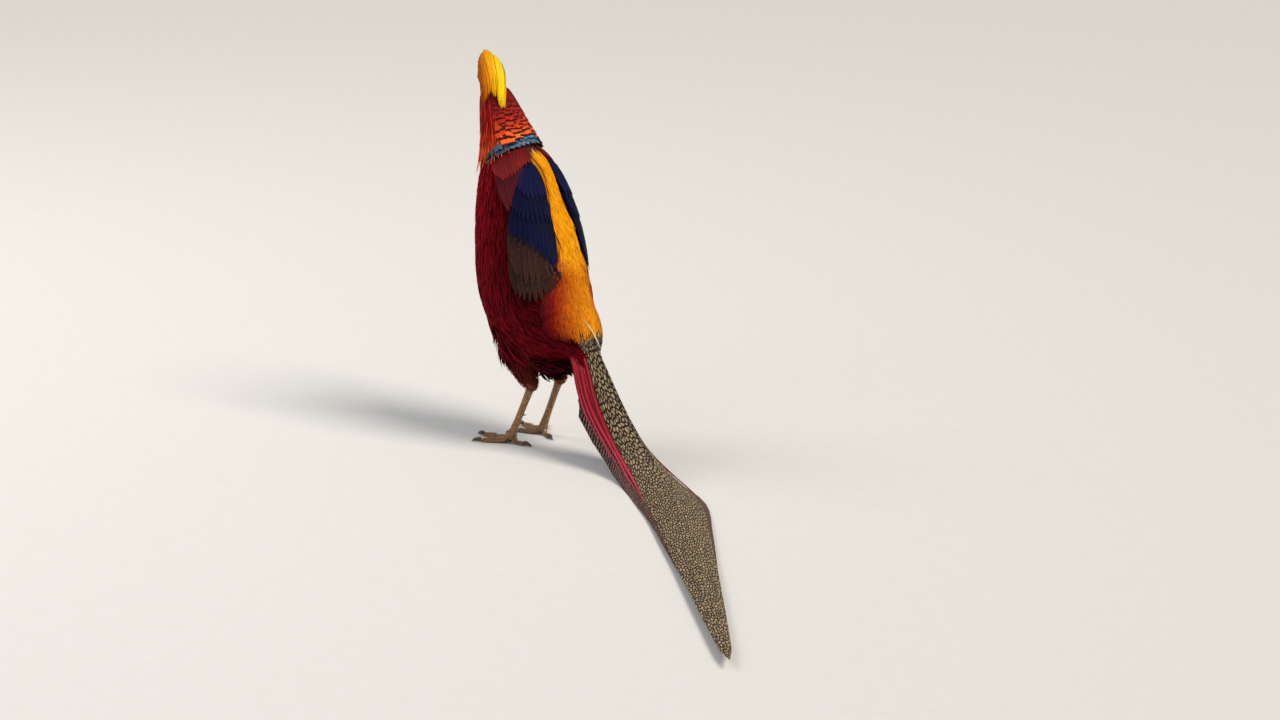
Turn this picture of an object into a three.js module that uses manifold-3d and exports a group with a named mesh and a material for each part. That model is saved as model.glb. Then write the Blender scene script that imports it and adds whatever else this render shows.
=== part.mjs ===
// A male golden pheasant, life size, standing upright with its long tail laid along the floor behind it.
// All sizes are in millimetres. While it is shaped, the bird faces +Y, its right side is +X and the floor is z = 0.

import * as THREE from "three";
import { mergeVertices } from "three/addons/utils/BufferGeometryUtils.js";
import Module from "manifold-3d";

const wasm = await Module();
wasm.setup();

const { clamp, degToRad, lerp, smoothstep } = THREE.MathUtils;
const vec = (x, y, z) => new THREE.Vector3(x, y, z);
const sides = { left: -1, right: 1 };

// The gap across a thin cut, and the room that a curved piece keeps from its neighbour
const GAP = 0.3;
const ROOM = 0.5;

// Trunk from the tail root up to the top of the neck: across, ahead, up, half width, half depth of each section
const TRUNK = [
  [0, -97, 112, 15, 13],
  [0, -73, 121, 30, 31],
  [0, -37, 130, 45, 56],
  [0, -6, 157, 51, 60],
  [0, 7, 208, 51, 52],
  [0, 21, 256, 41.5, 41],
  [0, 34, 291, 28, 28],
  [0, 47, 320, 20, 17.5],
  [0, 58, 345, 14.5, 13.5],
  [0, 64, 358, 8, 8],
];
const TRUNK_FACETS = [22, 24];
const TAIL_CUT = 0.02;
const NECK_BASE = 0.67;
const NECK_TOP = 0.885;

// Head in its own axes, from the nape to the root of the bill, and how the head sits on the neck
const HEAD = [
  [0, -21, 0, 3, 4],
  [0, -15, 1.5, 9.5, 10.5],
  [0, -4, 2.5, 13, 14],
  [0, 7, 1.5, 12.4, 12.8],
  [0, 15, -0.5, 9.4, 9.8],
  [0, 21, -2, 6.2, 7],
  [0, 25, -2.5, 3, 3.6],
];
const HEAD_FACETS = [16, 12];
const HEAD_CENTRE = vec(3, 66, 357);
const HEAD_TURN = degToRad(-34);
const HEAD_LIFT = degToRad(6);
const UPPER_BILL = [
  [0, 18, -0.5, 3.6, 3.6],
  [0, 25, 0.2, 4.2, 3.8],
  [0, 32, -0.6, 3.3, 3.2],
  [0, 39, -3, 2.1, 2.4],
  [0, 43.5, -6.6, 0.5, 0.8],
];
const LOWER_BILL = [
  [0, 17, -4, 3.2, 2.8],
  [0, 25, -4.2, 3.6, 2.8],
  [0, 33, -4.8, 2.5, 2.1],
  [0, 39, -6, 1, 0.8],
];
const BILL_FACETS = [10, 8];
const MOUTH = { at: vec(0, 25, -3), slope: degToRad(-9) };
const NOSTRIL = { at: vec(3.3, 25.5, 1.4), radius: 1.2 };
const EYE = { at: vec(8.9, 7.5, 3.6), radius: 4.6 };
const EYELID = { radius: 4.9, thick: 0.8 };

// Crest: silky locks in an inner and an outer layer, each fanned round the crown from side to side
const CREST = [
  { count: 5, fan: degToRad(46), scale: 0.82 },
  { count: 9, fan: degToRad(76), scale: 1 },
];
const CREST_LOCK = { halfWidth: { crown: 1.9, side: 2.8 }, steps: 4 };

// Cape: tiers of broad, square-ended feathers round the back and sides of the neck, the uppermost first
const CAPE = {
  tiers: [
    { t: 0.868, count: 9, length: 30, halfWidth: 5.2 },
    { t: 0.824, count: 10, length: 34, halfWidth: 6.2 },
    { t: 0.78, count: 11, length: 36, halfWidth: 7 },
  ],
  reach: degToRad(128),
  splay: degToRad(14),
  lifts: [-2.6, 5.2],
};

// The shoulders are turned a little to the right, so the wings and the golden back lie round that way
const TWIST = degToRad(11);

// Golden feathers down the back between the wings, and over the rump on to the first of the tail
const RUMP = {
  overTail: [
    { s: 44, wide: 20, deep: 15 },
    { s: 12, wide: 23, deep: 20 },
  ],
  tiers: [
    { t: 0.635, count: 2, reach: degToRad(6.5), length: 42, halfWidth: 4.2 },
    { t: 0.565, count: 2, reach: degToRad(6.5), length: 46, halfWidth: 4.8 },
    { t: 0.49, count: 2, reach: degToRad(6.5), length: 46, halfWidth: 5 },
    { t: 0.42, count: 2, reach: degToRad(6.5), length: 44, halfWidth: 5.2 },
    { t: 0.355, count: 3, reach: degToRad(10), length: 46, halfWidth: 4.6 },
    { t: 0.285, count: 4, reach: degToRad(24), length: 46, halfWidth: 5.4 },
    { t: 0.235, count: 5, reach: degToRad(48), length: 44, halfWidth: 6.4 },
    { t: 0.19, count: 6, reach: degToRad(64), length: 38, halfWidth: 6.4 },
  ],
  lifts: [-2.6, 2.8],
};

// Wing: its body, and its feathers in tiers from the lowest to the uppermost
const WING = {
  t: 0.5,
  turn: degToRad(41),
  halfLength: 0.14,
  halfWidth: degToRad(21),
  squareness: 0.6,
  under: 2,
  thick: 2.6,
};
const WING_TIERS = {
  primaries: { t: 0.41, turns: [54, 46], count: 3, lengths: [66, 66], halfWidth: 4.8, lifts: [3, 3.1] },
  secondaries: { t: 0.43, turns: [57, 24], count: 5, lengths: [66, 54], halfWidth: 4.8, lifts: [3.8, 5.5] },
  tertials: { t: 0.5, turns: [47, 23], count: 4, lengths: [56, 68], halfWidth: 4.6, lifts: [3.8, 6.4] },
  coverts: { t: 0.545, turns: [56, 24], count: 4, lengths: [44, 50], halfWidth: 5.4, lifts: [3.6, 6.2] },
  scapulars: { t: 0.6, turns: [53, 25], count: 4, lengths: [38, 46], halfWidth: 4.6, lifts: [3.3, 6.3] },
};
const WING_ROLL = degToRad(8);

// Legs: feathered thigh, scaly shank with a small spur, and toes
const THIGH = [
  [17, 4, 142, 8, 8],
  [20, 2, 122, 17, 22],
  [21, -5, 99, 16.5, 22],
  [21, -14, 81, 13, 16],
  [20.5, -23, 68, 8, 9],
  [20, -27, 61, 4.5, 5],
];
const THIGH_FACETS = [16, 11];
const THIGH_HOCK_Y = -27;
const SHANK_RADII = [4.4, 3.4, 3.2, 3.6, 4.6];
const SPUR = { height: 0.36, radius: 1.6, length: 8 };
const LEGS = {
  left: { hock: vec(-20, -31, 70), foot: vec(-22, 1, 9), heading: degToRad(6) },
  right: { hock: vec(20, -25, 70), foot: vec(23, 8, 9), heading: degToRad(-8) },
};
const TOES = [
  { name: "middle", turn: 0, length: 41, radius: 3.6, joints: 3 },
  { name: "inner", turn: 36, length: 29, radius: 3.3, joints: 2 },
  { name: "outer", turn: -36, length: 32, radius: 3.2, joints: 3 },
  { name: "hind", turn: 172, length: 16, radius: 2.7, joints: 1 },
];
const TOE_FACETS = [6, 7];
const CLAW = { length: 10.5, radius: 2 };

// Tail: it leaves the body steeply, bends down to the floor and lies along it, swung to the left, like a low roof
const TAIL = {
  root: vec(0, -90, 118),
  droop: degToRad(57),
  bend: 228,
  swing: degToRad(35),
  swungAt: 300,
  length: 700,
  cut: 170,
  ridge: 9.5,
  slope: degToRad(17),
};
const TAIL_CORE = [
  [-16, 15, 11],
  [0, 17, 13],
  [22, 16, 12],
  [40, 11, 9],
  [54, 5, 3],
];

// The tail feathers' lengths, pair by pair from the ridge outwards and down
const TAIL_PAIRS = [700, 565, 440, 335, 255, 190, 130];
const TAIL_FEATHER = { start: 8, halfWidth: 28, thick: 0.8, pitch: 1.2, step: 1.1 };

// Narrow scarlet coverts that hang along each side of the tail
const STREAMERS = [
  { length: 262, beside: 29.5, ups: [-6.2, 2.8] },
  { length: 222, beside: 34.5, ups: [-7.6, 1.8] },
  { length: 182, beside: 39.5, ups: [-9, 0.8] },
];
const STREAMER = { start: 14, beside: 9, halfWidth: 4.2, thick: 0.8 };

const THICK = { crest: 1.5, cape: 0.9, rump: 1, wing: 0.8 };

// Outlines of a feather or lock, as a share of its half width, from root to tip
const pointed = (share) => lerp(0.6, 1, smoothstep(share, 0, 0.4)) * lerp(1, 0.14, smoothstep(share, 0.45, 1));
const rounded = (share) => lerp(0.6, 1, smoothstep(share, 0, 0.4)) * (1 - 0.6 * smoothstep(share, 0.75, 1.08));
const square = (share) => lerp(0.6, 1, share) * (1 - 0.18 * smoothstep(share, 0.85, 1));

// A smooth curve through rows of numbers, by a Catmull-Rom spline, which runs on straight past its ends
function spline(rows, t) {
  const last = rows.length - 1;
  const u = t * last;
  if (u < 0) return rows[0].map((v, n) => v + (rows[1][n] - v) * u);
  if (u > last) return rows[last].map((v, n) => v + (v - rows[last - 1][n]) * (u - last));
  const i = Math.min(Math.floor(u), last - 1);
  const f = u - i;
  return rows[i].map((b, n) => {
    const c = rows[i + 1][n];
    const a = i > 0 ? rows[i - 1][n] : 2 * b - c;
    const d = i + 2 <= last ? rows[i + 2][n] : 2 * c - b;
    return b + 0.5 * f * (c - a + f * (2 * a - 5 * b + 4 * c - d + f * (3 * (b - c) + d - a)));
  });
}

// A body of elliptical sections along a curve. Turn 0 is its back and a quarter turn is its right side.
function body(rows) {
  const centre = (t) => vec(...spline(rows, t).slice(0, 3));
  const forward = (t) => centre(t + 1e-3).sub(centre(t - 1e-3)).normalize();
  const surface = (t, turn) => {
    const [, , , wide, deep] = spline(rows, t);
    const along = forward(t);
    const across = vec(1, 0, 0).addScaledVector(along, -along.x).normalize();
    const back = across.clone().cross(along);
    return centre(t)
      .addScaledVector(across, wide * Math.sin(turn))
      .addScaledVector(back, deep * Math.cos(turn));
  };
  const slopes = (t, turn) => ({
    byT: surface(t + 1e-3, turn).sub(surface(t - 1e-3, turn)).divideScalar(2e-3),
    byTurn: surface(t, turn + 1e-2).sub(surface(t, turn - 1e-2)).divideScalar(2e-2),
  });
  const outward = (t, turn) => {
    const { byT, byTurn } = slopes(t, turn);
    return byTurn.cross(byT).normalize();
  };
  return { centre, forward, surface, slopes, outward };
}

// The closed mesh of a body, `lift` outside its surface
function skin(shape, [around, along], lift = 0) {
  const lattice = new THREE.SphereGeometry(1, around, along);
  const position = lattice.getAttribute("position");
  for (let n = 0; n < position.count; n++) {
    const row = Math.floor(n / (around + 1));
    const t = row / along;
    const turn = (-2 * Math.PI * (n % (around + 1))) / around;
    const at = shape.centre(t);
    if (row === 0 || row === along) at.addScaledVector(shape.forward(t), row ? lift : -lift);
    else at.copy(shape.surface(t, turn)).addScaledVector(shape.outward(t, turn), lift);
    position.setXYZ(n, at.x, at.y, at.z);
  }
  return solidOf(lattice);
}

// A geometry's closed surface as a solid
function solidOf(geometry) {
  const bare = new THREE.BufferGeometry();
  bare.setAttribute("position", geometry.getAttribute("position"));
  bare.setIndex(geometry.getIndex());
  const merged = mergeVertices(bare, 1e-4);
  return new wasm.Manifold(
    new wasm.Mesh({
      numProp: 3,
      vertProperties: new Float32Array(merged.getAttribute("position").array),
      triVerts: new Uint32Array(merged.getIndex().array),
    }),
  );
}

const fuse = (...solids) => wasm.Manifold.union(solids.flat());

// The largest closed surface of a solid, without scraps and sealed hollows
const largest = (solid) =>
  solid.decompose().reduce((a, b) => (a.volume() > b.volume() ? a : b));

// What a solid keeps behind the plane through `at` that faces `facing`
function trim(solid, at, facing) {
  const size = 2000;
  const box = new THREE.BoxGeometry(size, size, size);
  const turned = new THREE.Quaternion().setFromUnitVectors(vec(0, 0, 1), facing.clone().normalize());
  box.translate(0, 0, size / 2).applyQuaternion(turned).translate(at.x, at.y, at.z);
  return solid.subtract(solidOf(box));
}

const behind = (solid, shape, t) =>
  trim(solid, shape.centre(t).addScaledVector(shape.forward(t), -GAP / 2), shape.forward(t));
const ahead = (solid, shape, t) =>
  trim(solid, shape.centre(t).addScaledVector(shape.forward(t), GAP / 2), shape.forward(t).negate());
const aboveFloor = (solid) => trim(solid, vec(0, 0, 0), vec(0, 0, -1));
const moved = (solid, matrix) => solid.transform(matrix.elements);
const ball = (at, radius, around) =>
  solidOf(new THREE.SphereGeometry(radius, around, around / 2).translate(at.x, at.y, at.z));
const mirrorX = (at) => vec(-at.x, at.y, at.z);

// A feather: a thin blade through frames of position, side, up and half width, the same triangles on both faces.
// With a vault, its middle stands above its edges by that share of its half width.
function blade(frames, thick, vault = 0) {
  const columns = vault ? [-1, 0, 1] : [-1, 1];
  const wide = columns.length;
  const position = [];
  for (const { at, side, up, half, deep = thick } of frames)
    for (const face of [0.5, -0.5])
      for (const column of columns) {
        const point = at.clone().addScaledVector(side, column * half);
        point.addScaledVector(up, face * deep - Math.abs(column) * vault * half);
        position.push(...point.toArray());
      }
  const top = (i, j) => i * 2 * wide + j;
  const under = (i, j) => top(i, j) + wide;
  const index = [];
  const last = frames.length - 1;
  const right = wide - 1;
  for (let i = 0; i < last; i++) {
    for (let j = 0; j < right; j++) {
      index.push(top(i, j), top(i, j + 1), top(i + 1, j + 1), top(i, j), top(i + 1, j + 1), top(i + 1, j));
      index.push(under(i, j), under(i + 1, j + 1), under(i, j + 1));
      index.push(under(i, j), under(i + 1, j), under(i + 1, j + 1));
    }
    index.push(under(i, right), under(i + 1, right), top(i + 1, right));
    index.push(under(i, right), top(i + 1, right), top(i, right));
    index.push(top(i, 0), top(i + 1, 0), under(i + 1, 0), top(i, 0), under(i + 1, 0), under(i, 0));
  }
  for (let j = 0; j < right; j++) {
    index.push(top(0, j), under(0, j), under(0, j + 1), top(0, j), under(0, j + 1), top(0, j + 1));
    index.push(top(last, j), top(last, j + 1), under(last, j + 1));
    index.push(top(last, j), under(last, j + 1), under(last, j));
  }
  const geometry = new THREE.BufferGeometry();
  geometry.setAttribute("position", new THREE.Float32BufferAttribute(position, 3));
  geometry.setIndex(index);
  return solidOf(geometry);
}

// A feather that lies on a body and runs back along it from its root, rising from the first lift to the second,
// most steeply at the root
const SHARES = [0, 0.35, 0.75, 1];
const WALK_STEP = 2;
function lie(shape, { t, turn, length, halfWidth, lifts, heading = 0, roll = 0, outline, thick }) {
  const at = { t, turn };
  const walk = (distance) => {
    const count = Math.ceil(distance / WALK_STEP);
    for (let i = 0; i < count; i++) {
      const { byT, byTurn } = shape.slopes(at.t, at.turn);
      at.t -= (distance * Math.cos(heading)) / byT.length() / count;
      at.turn += (distance * Math.sin(heading)) / byTurn.length() / count;
    }
  };
  const frames = SHARES.map((share, i) => {
    walk(length * (share - (SHARES[i - 1] ?? 0)));
    const { byT, byTurn } = shape.slopes(at.t, at.turn);
    const outward = shape.outward(at.t, at.turn);
    const way = byT.clone().normalize().multiplyScalar(-Math.cos(heading));
    way.addScaledVector(byTurn.clone().normalize(), Math.sin(heading)).normalize();
    const up = outward.clone().applyAxisAngle(way, roll);
    return {
      at: shape.surface(at.t, at.turn).addScaledVector(outward, lerp(...lifts, Math.sqrt(share))),
      side: way.clone().cross(up).normalize(),
      up,
      half: halfWidth * outline(share),
    };
  });
  return blade(frames, thick);
}

const trunk = body(TRUNK);
const head = body(HEAD);
const headPlace = new THREE.Matrix4()
  .makeTranslation(HEAD_CENTRE)
  .multiply(new THREE.Matrix4().makeRotationZ(HEAD_TURN))
  .multiply(new THREE.Matrix4().makeRotationX(HEAD_LIFT));

const nodes = new Map();

// One lock of the crest, `fan` round the crown: up from the brow, back over the crown and down behind the nape
function crestLock(fan, scale) {
  const [wide, high] = [Math.sin(fan), Math.cos(fan)];
  const drop = Math.abs(wide);
  const peak = high * (1 - 0.3 * drop * high);
  const path = [
    [9 * wide, 11 - 7 * drop, 6 + 3 * high],
    [11 * wide, 2, 10 + 10 * peak],
    [12.3 * wide, -9, 9 + 22 * peak],
    [12.8 * wide, -21, 4 + 20 * peak - 2 * drop],
    [12.4 * wide, -31, -4 + 13 * peak - 5 * drop],
    [11.6 * wide, -36, -12 + 10 * peak - 10 * drop],
  ].map(([x, y, z]) => [x * scale, y * lerp(0.6, 1, scale), 4 + (z - 4) * scale]);
  const { halfWidth, steps } = CREST_LOCK;
  const frames = [];
  for (let i = 0; i <= steps; i++) {
    const share = i / steps;
    const [at, before, after] = [0, -0.02, 0.02].map((step) => vec(...spline(path, share + step)));
    const way = after.sub(before).normalize();
    const side = vec(Math.cos(fan), 0, -Math.sin(fan));
    side.addScaledVector(way, -side.dot(way)).normalize();
    const half = lerp(halfWidth.crown, halfWidth.side, drop) * pointed(share) * smoothstep(share, -0.3, 0.35);
    frames.push({ at, side, up: side.clone().cross(way), half });
  }
  return blade(frames, THICK.crest);
}

function buildHeadAndNeck() {
  const flesh = skin(trunk, TRUNK_FACETS);
  const skull = moved(skin(head, HEAD_FACETS), headPlace);
  const locks = [];
  for (const { count, fan, scale } of CREST)
    for (let i = 0; i < count; i++)
      locks.push(moved(crestLock(lerp(-fan, fan, i / (count - 1)), scale), headPlace));
  const cape = [];
  for (const { count, ...tier } of CAPE.tiers)
    for (let i = 0; i < count; i++) {
      const across = (2 * i) / (count - 1) - 1;
      const reach = count % 2 ? CAPE.reach : CAPE.reach * 0.9;
      const place = { turn: across * reach, heading: across * CAPE.splay };
      cape.push(lie(trunk, { ...tier, ...place, lifts: CAPE.lifts, outline: square, thick: THICK.cape }));
    }
  const neck = ahead(behind(flesh, trunk, NECK_TOP), trunk, NECK_BASE);
  nodes.set("neck", largest(fuse(neck, cape)));
  nodes.set("head", largest(fuse(ahead(fuse(flesh, skull), trunk, NECK_TOP), locks)));
}

function buildTorso() {
  const flesh = ahead(behind(skin(trunk, TRUNK_FACETS), trunk, NECK_BASE), trunk, TAIL_CUT);
  const overTail = RUMP.overTail.map(({ s, wide, deep }) => [...tailFrame(s).at.toArray(), wide, deep]);
  const back = body([...overTail, ...TRUNK.slice(1)]);
  const locks = [];
  for (const { count, reach, ...tier } of RUMP.tiers)
    for (let i = 0; i < count; i++) {
      const turn = TWIST + reach * ((2 * i) / (count - 1) - 1);
      locks.push(lie(back, { ...tier, turn, lifts: RUMP.lifts, outline: pointed, thick: THICK.rump }));
    }
  nodes.set("torso", largest(fuse(flesh, locks)));
}

function buildFace() {
  let face = nodes.get("head");
  const socketCentres = { left: mirrorX(EYE.at), right: EYE.at };
  for (const [side, at] of Object.entries(socketCentres)) {
    const lid = new THREE.TorusGeometry(EYELID.radius, EYELID.thick, 4, 12);
    const outwards = vec(sides[side], 0.12, 0.16).normalize();
    lid.applyQuaternion(new THREE.Quaternion().setFromUnitVectors(vec(0, 0, 1), outwards));
    const rim = at.clone().addScaledVector(outwards, 1.6);
    lid.translate(rim.x, rim.y, rim.z);
    face = fuse(face, moved(solidOf(lid), headPlace));
    face = face.subtract(moved(ball(at, EYE.radius + GAP, 12), headPlace));
    nodes.set(`eye_${side}`, moved(ball(at, EYE.radius, 12), headPlace));
  }
  const upperFacing = vec(0, Math.sin(MOUTH.slope), -Math.cos(MOUTH.slope));
  const lowerFacing = upperFacing.clone().negate();
  const faceRoom = skin(head, HEAD_FACETS, GAP);
  const closed = (facing) => MOUTH.at.clone().addScaledVector(facing, -GAP / 2);
  let upper = trim(skin(body(UPPER_BILL), BILL_FACETS), closed(upperFacing), upperFacing);
  const lower = trim(skin(body(LOWER_BILL), BILL_FACETS), closed(lowerFacing), lowerFacing);
  for (const at of [NOSTRIL.at, mirrorX(NOSTRIL.at)]) upper = upper.subtract(ball(at, NOSTRIL.radius, 6));
  nodes.set("bill_upper", moved(upper.subtract(faceRoom), headPlace));
  nodes.set("bill_lower", moved(lower.subtract(faceRoom), headPlace));
  nodes.set("head", largest(face));
}

// A low body along the wing, thin towards its edges, in which the roots of its feathers sit
function wingCore(sign) {
  const lattice = new THREE.SphereGeometry(1, 14, 8);
  const position = lattice.getAttribute("position");
  for (let n = 0; n < position.count; n++) {
    const [x, y, z] = vec().fromBufferAttribute(position, n).toArray();
    const fuller = Math.pow(Math.max(Math.hypot(x, z), 0.01), -WING.squareness);
    const t = WING.t + WING.halfLength * y;
    const turn = TWIST + sign * WING.turn + WING.halfWidth * x * fuller;
    const lift = WING.under + WING.thick * Math.max(z, 0) * fuller;
    const at = trunk.surface(t, turn).addScaledVector(trunk.outward(t, turn), lift);
    position.setXYZ(n, at.x, at.y, at.z);
  }
  return solidOf(lattice);
}

function buildWing(side) {
  const sign = sides[side];
  const feathers = [];
  for (const { t, turns, count, lengths, ...tier } of Object.values(WING_TIERS))
    for (let i = 0; i < count; i++) {
      const share = i / (count - 1);
      const turn = TWIST + sign * degToRad(lerp(...turns, share));
      const place = { t, turn, length: lerp(...lengths, share), roll: sign * WING_ROLL };
      feathers.push(lie(trunk, { ...tier, ...place, outline: rounded, thick: THICK.wing }));
    }
  const flesh = skin(trunk, TRUNK_FACETS);
  const room = fuse(flesh.translate(sign * ROOM, 0, 0), flesh.translate(0, -ROOM, ROOM));
  const wing = fuse(wingCore(sign), feathers).subtract(room);
  nodes.set(`wing_${side}`, largest(wing));
}

// A toe lies along the floor from under the shank, with a pad at each joint
function toeRows(toe) {
  const count = 9;
  const rows = [];
  for (let i = 0; i < count; i++) {
    const share = i / (count - 1);
    const pads = 1 + 0.13 * Math.cos(2 * Math.PI * share * toe.joints);
    const radius = toe.radius * lerp(1, 0.72, share) * pads * (i === count - 1 ? 0.45 : 1);
    const up = lerp(8, radius * 0.82, smoothstep(share, 0, 0.35));
    rows.push([0, lerp(0, toe.length, share), up, radius, radius * 0.95]);
  }
  return rows;
}

function clawRows(toe) {
  const { length, radius } = CLAW;
  const start = toe.length - 1.5;
  return [
    [0, start, 2.6, radius * 0.6, radius * 0.7],
    [0, start + length * 0.25, 3.1, radius, radius * 1.1],
    [0, start + length * 0.65, 2.5, radius * 0.6, radius * 0.8],
    [0, start + length, 0.7, 0.25, 0.3],
  ];
}

function buildLeg(side) {
  const sign = sides[side];
  const { hock, foot, heading } = LEGS[side];
  const rows = THIGH.map(([x, y, ...rest]) => [sign * x, y + hock.y - THIGH_HOCK_Y, ...rest]);
  const thigh = body(rows);
  const trunkRoom = skin(trunk, TRUNK_FACETS, ROOM);
  nodes.set(`thigh_${side}`, largest(skin(thigh, THIGH_FACETS).subtract(trunkRoom)));

  const line = hock.clone().sub(foot);
  const upwards = line.clone().normalize();
  const shankRows = SHANK_RADII.map((radius, i) => {
    const at = foot.clone().addScaledVector(line, i / (SHANK_RADII.length - 1));
    return [...at.toArray(), radius * 0.86, radius];
  });
  const inBack = vec(-sign * 0.35, -1, 0.25).normalize();
  const spur = new THREE.ConeGeometry(SPUR.radius, SPUR.length, 6);
  spur.applyQuaternion(new THREE.Quaternion().setFromUnitVectors(vec(0, 1, 0), inBack));
  const spurAt = foot.clone().addScaledVector(line, SPUR.height).addScaledVector(inBack, SPUR.length / 2);
  spur.translate(spurAt.x, spurAt.y, spurAt.z);
  const ankleTop = vec(foot.x, foot.y, foot.z + 4);
  const shank = trim(
    fuse(skin(body(shankRows), [10, 8]), solidOf(spur)),
    ankleTop.clone().addScaledVector(upwards, GAP),
    upwards.clone().negate(),
  );
  nodes.set(`shank_${side}`, largest(shank.subtract(skin(thigh, THIGH_FACETS, GAP))));

  const footPlace = new THREE.Matrix4()
    .makeTranslation(foot.x, foot.y, 0)
    .multiply(new THREE.Matrix4().makeRotationZ(heading));
  const pieces = [ball(vec(foot.x, foot.y, foot.z - 1), 5, 8)];
  for (const toe of TOES) {
    const turned = new THREE.Matrix4().makeRotationZ(sign * degToRad(toe.turn));
    const place = footPlace.clone().multiply(turned);
    const flesh = body(toeRows(toe));
    pieces.push(moved(skin(flesh, TOE_FACETS), place));
    const claw = moved(skin(body(clawRows(toe)), [7, 5]), place);
    const room = moved(skin(flesh, TOE_FACETS, GAP), place);
    nodes.set(`claw_${side}_${toe.name}`, largest(aboveFloor(claw.subtract(room))));
  }
  nodes.set(`foot_${side}`, largest(aboveFloor(trim(fuse(pieces), ankleTop, upwards))));
}

// Points of the tail's ground line, by length from its root: straight above where the tail meets the floor
const TAIL_STEP = 2;
const tailLine = (() => {
  const points = [TAIL.root.clone()];
  const ways = [];
  for (let s = 0; s <= TAIL.length + 20; s += TAIL_STEP) {
    const droop = TAIL.droop * Math.max(0, 1 - s / TAIL.bend);
    const swing = TAIL.swing * smoothstep(s, 0, TAIL.swungAt);
    const way = vec(-Math.sin(swing) * Math.cos(droop), -Math.cos(swing) * Math.cos(droop), -Math.sin(droop));
    ways.push(way);
    points.push(points.at(-1).clone().addScaledVector(way, TAIL_STEP));
  }
  const sunk = points.at(-1).z;
  for (const point of points) point.z -= sunk;
  return { points, ways };
})();

function tailFrame(s) {
  const n = clamp(s / TAIL_STEP, 0, tailLine.ways.length - 1);
  const i = Math.min(Math.floor(n), tailLine.ways.length - 2);
  const along = tailLine.ways[i].clone().lerp(tailLine.ways[i + 1], n - i).normalize();
  const at = tailLine.points[i].clone().lerp(tailLine.points[i + 1], n - i);
  if (s < 0) at.addScaledVector(along, s);
  const side = along.clone().cross(vec(0, 0, 1)).normalize();
  return { at, along, side, up: side.clone().cross(along) };
}

// How far a pair's ridge stands above the ground line: on the longer side of every pair below it that is still there
const opened = (s) => smoothstep(s, 0, 110);
function tailRidge(pair, s) {
  const below = TAIL_PAIRS.slice(pair + 1);
  const stack = below.reduce((sum, length) => sum + 1 - smoothstep(s, length - 5, length + 80), 0);
  const rootMiddle = (-TAIL_FEATHER.pitch * (TAIL_PAIRS.length - 1)) / 2;
  return lerp(rootMiddle, TAIL.ridge, opened(s)) + TAIL_FEATHER.pitch * stack;
}

// One vane of a pair, from the ridge out to its edge, between two lengths along the tail
function tailVane(pair, sign, from, to, steps) {
  const length = TAIL_PAIRS[pair];
  const [cos, sin] = [Math.cos(TAIL.slope), Math.sin(TAIL.slope)];
  const inner = GAP / 2;
  const frames = [];
  for (let i = 0; i <= steps; i++) {
    const s = lerp(from, to, i / steps);
    const { at, side, up } = tailFrame(s);
    const taper = 1 - 0.86 * Math.pow(clamp((s / length - 0.3) / 0.7, 0, 1), 1.35);
    const outer = lerp(10, TAIL_FEATHER.halfWidth + TAIL_FEATHER.step * pair, opened(s)) * taper;
    const middle = (inner + outer) / 2;
    at.addScaledVector(up, tailRidge(pair, s) - middle * sin).addScaledVector(side, sign * middle * cos);
    frames.push({
      at,
      side: side.clone().multiplyScalar(cos).addScaledVector(up, -sign * sin),
      up: up.clone().multiplyScalar(cos).addScaledVector(side, sign * sin),
      half: (outer - inner) / 2,
    });
  }
  return blade(frames, TAIL_FEATHER.thick);
}

// The shafts' bundle at the start of the tail's far length, inside the stack of vanes
function tailBundle() {
  const lowest = TAIL_PAIRS.filter((length) => length > TAIL.cut).length - 1;
  const frames = [0, 12, 26].map((past) => {
    const s = TAIL.cut + GAP / 2 + past;
    const { at, side, up } = tailFrame(s);
    const [low, high] = [tailRidge(lowest, s), tailRidge(0, s)];
    return { at: at.addScaledVector(up, (low + high) / 2), side, up, half: 15 - 0.45 * past, deep: high - low };
  });
  return blade(frames, 0, Math.tan(TAIL.slope));
}

function streamer({ length, beside, ups }, sign) {
  const steps = 5;
  const frames = [];
  for (let i = 0; i <= steps; i++) {
    const s = lerp(STREAMER.start, length, i / steps);
    const { at, side, up } = tailFrame(s);
    at.addScaledVector(side, sign * lerp(STREAMER.beside, beside, smoothstep(s, 10, 170)));
    at.addScaledVector(up, lerp(...ups, smoothstep(s, 60, 228)));
    frames.push({ at, side, up, half: STREAMER.halfWidth * pointed(i / steps) });
  }
  return blade(frames, STREAMER.thick);
}

function buildTail() {
  const coreRows = TAIL_CORE.map(([s, wide, deep]) => [...tailFrame(s).at.toArray(), wide, deep]);
  const base = [skin(body(coreRows), [10, 7])];
  const end = [tailBundle()];
  for (const sign of Object.values(sides)) {
    TAIL_PAIRS.forEach((length, pair) => {
      const near = Math.min(length, TAIL.cut - GAP / 2);
      base.push(tailVane(pair, sign, TAIL_FEATHER.start, near, Math.ceil(near / 45)));
      const far = TAIL.cut + GAP / 2;
      if (length > far) end.push(tailVane(pair, sign, far, length, Math.ceil((length - far) / 72) + 1));
    });
    for (const strand of STREAMERS) base.push(streamer(strand, sign));
  }
  nodes.set("tail_base", largest(aboveFloor(behind(fuse(base), trunk, TAIL_CUT))));
  nodes.set("tail_end", largest(aboveFloor(fuse(end))));
}

buildHeadAndNeck();
buildTorso();
buildFace();
for (const side of Object.keys(sides)) {
  buildWing(side);
  buildLeg(side);
}
buildTail();

const COLOURS = {
  head: "#d9a21b",
  neck: "#d2521c",
  torso: "#8e0f1d",
  wing: "#1b2350",
  tail: "#8d744c",
  thigh: "#7a1a20",
  shank: "#b98a52",
  foot: "#b98a52",
  claw: "#5a4632",
  bill: "#b59a5a",
  eye: "#d9c27a",
};

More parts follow.
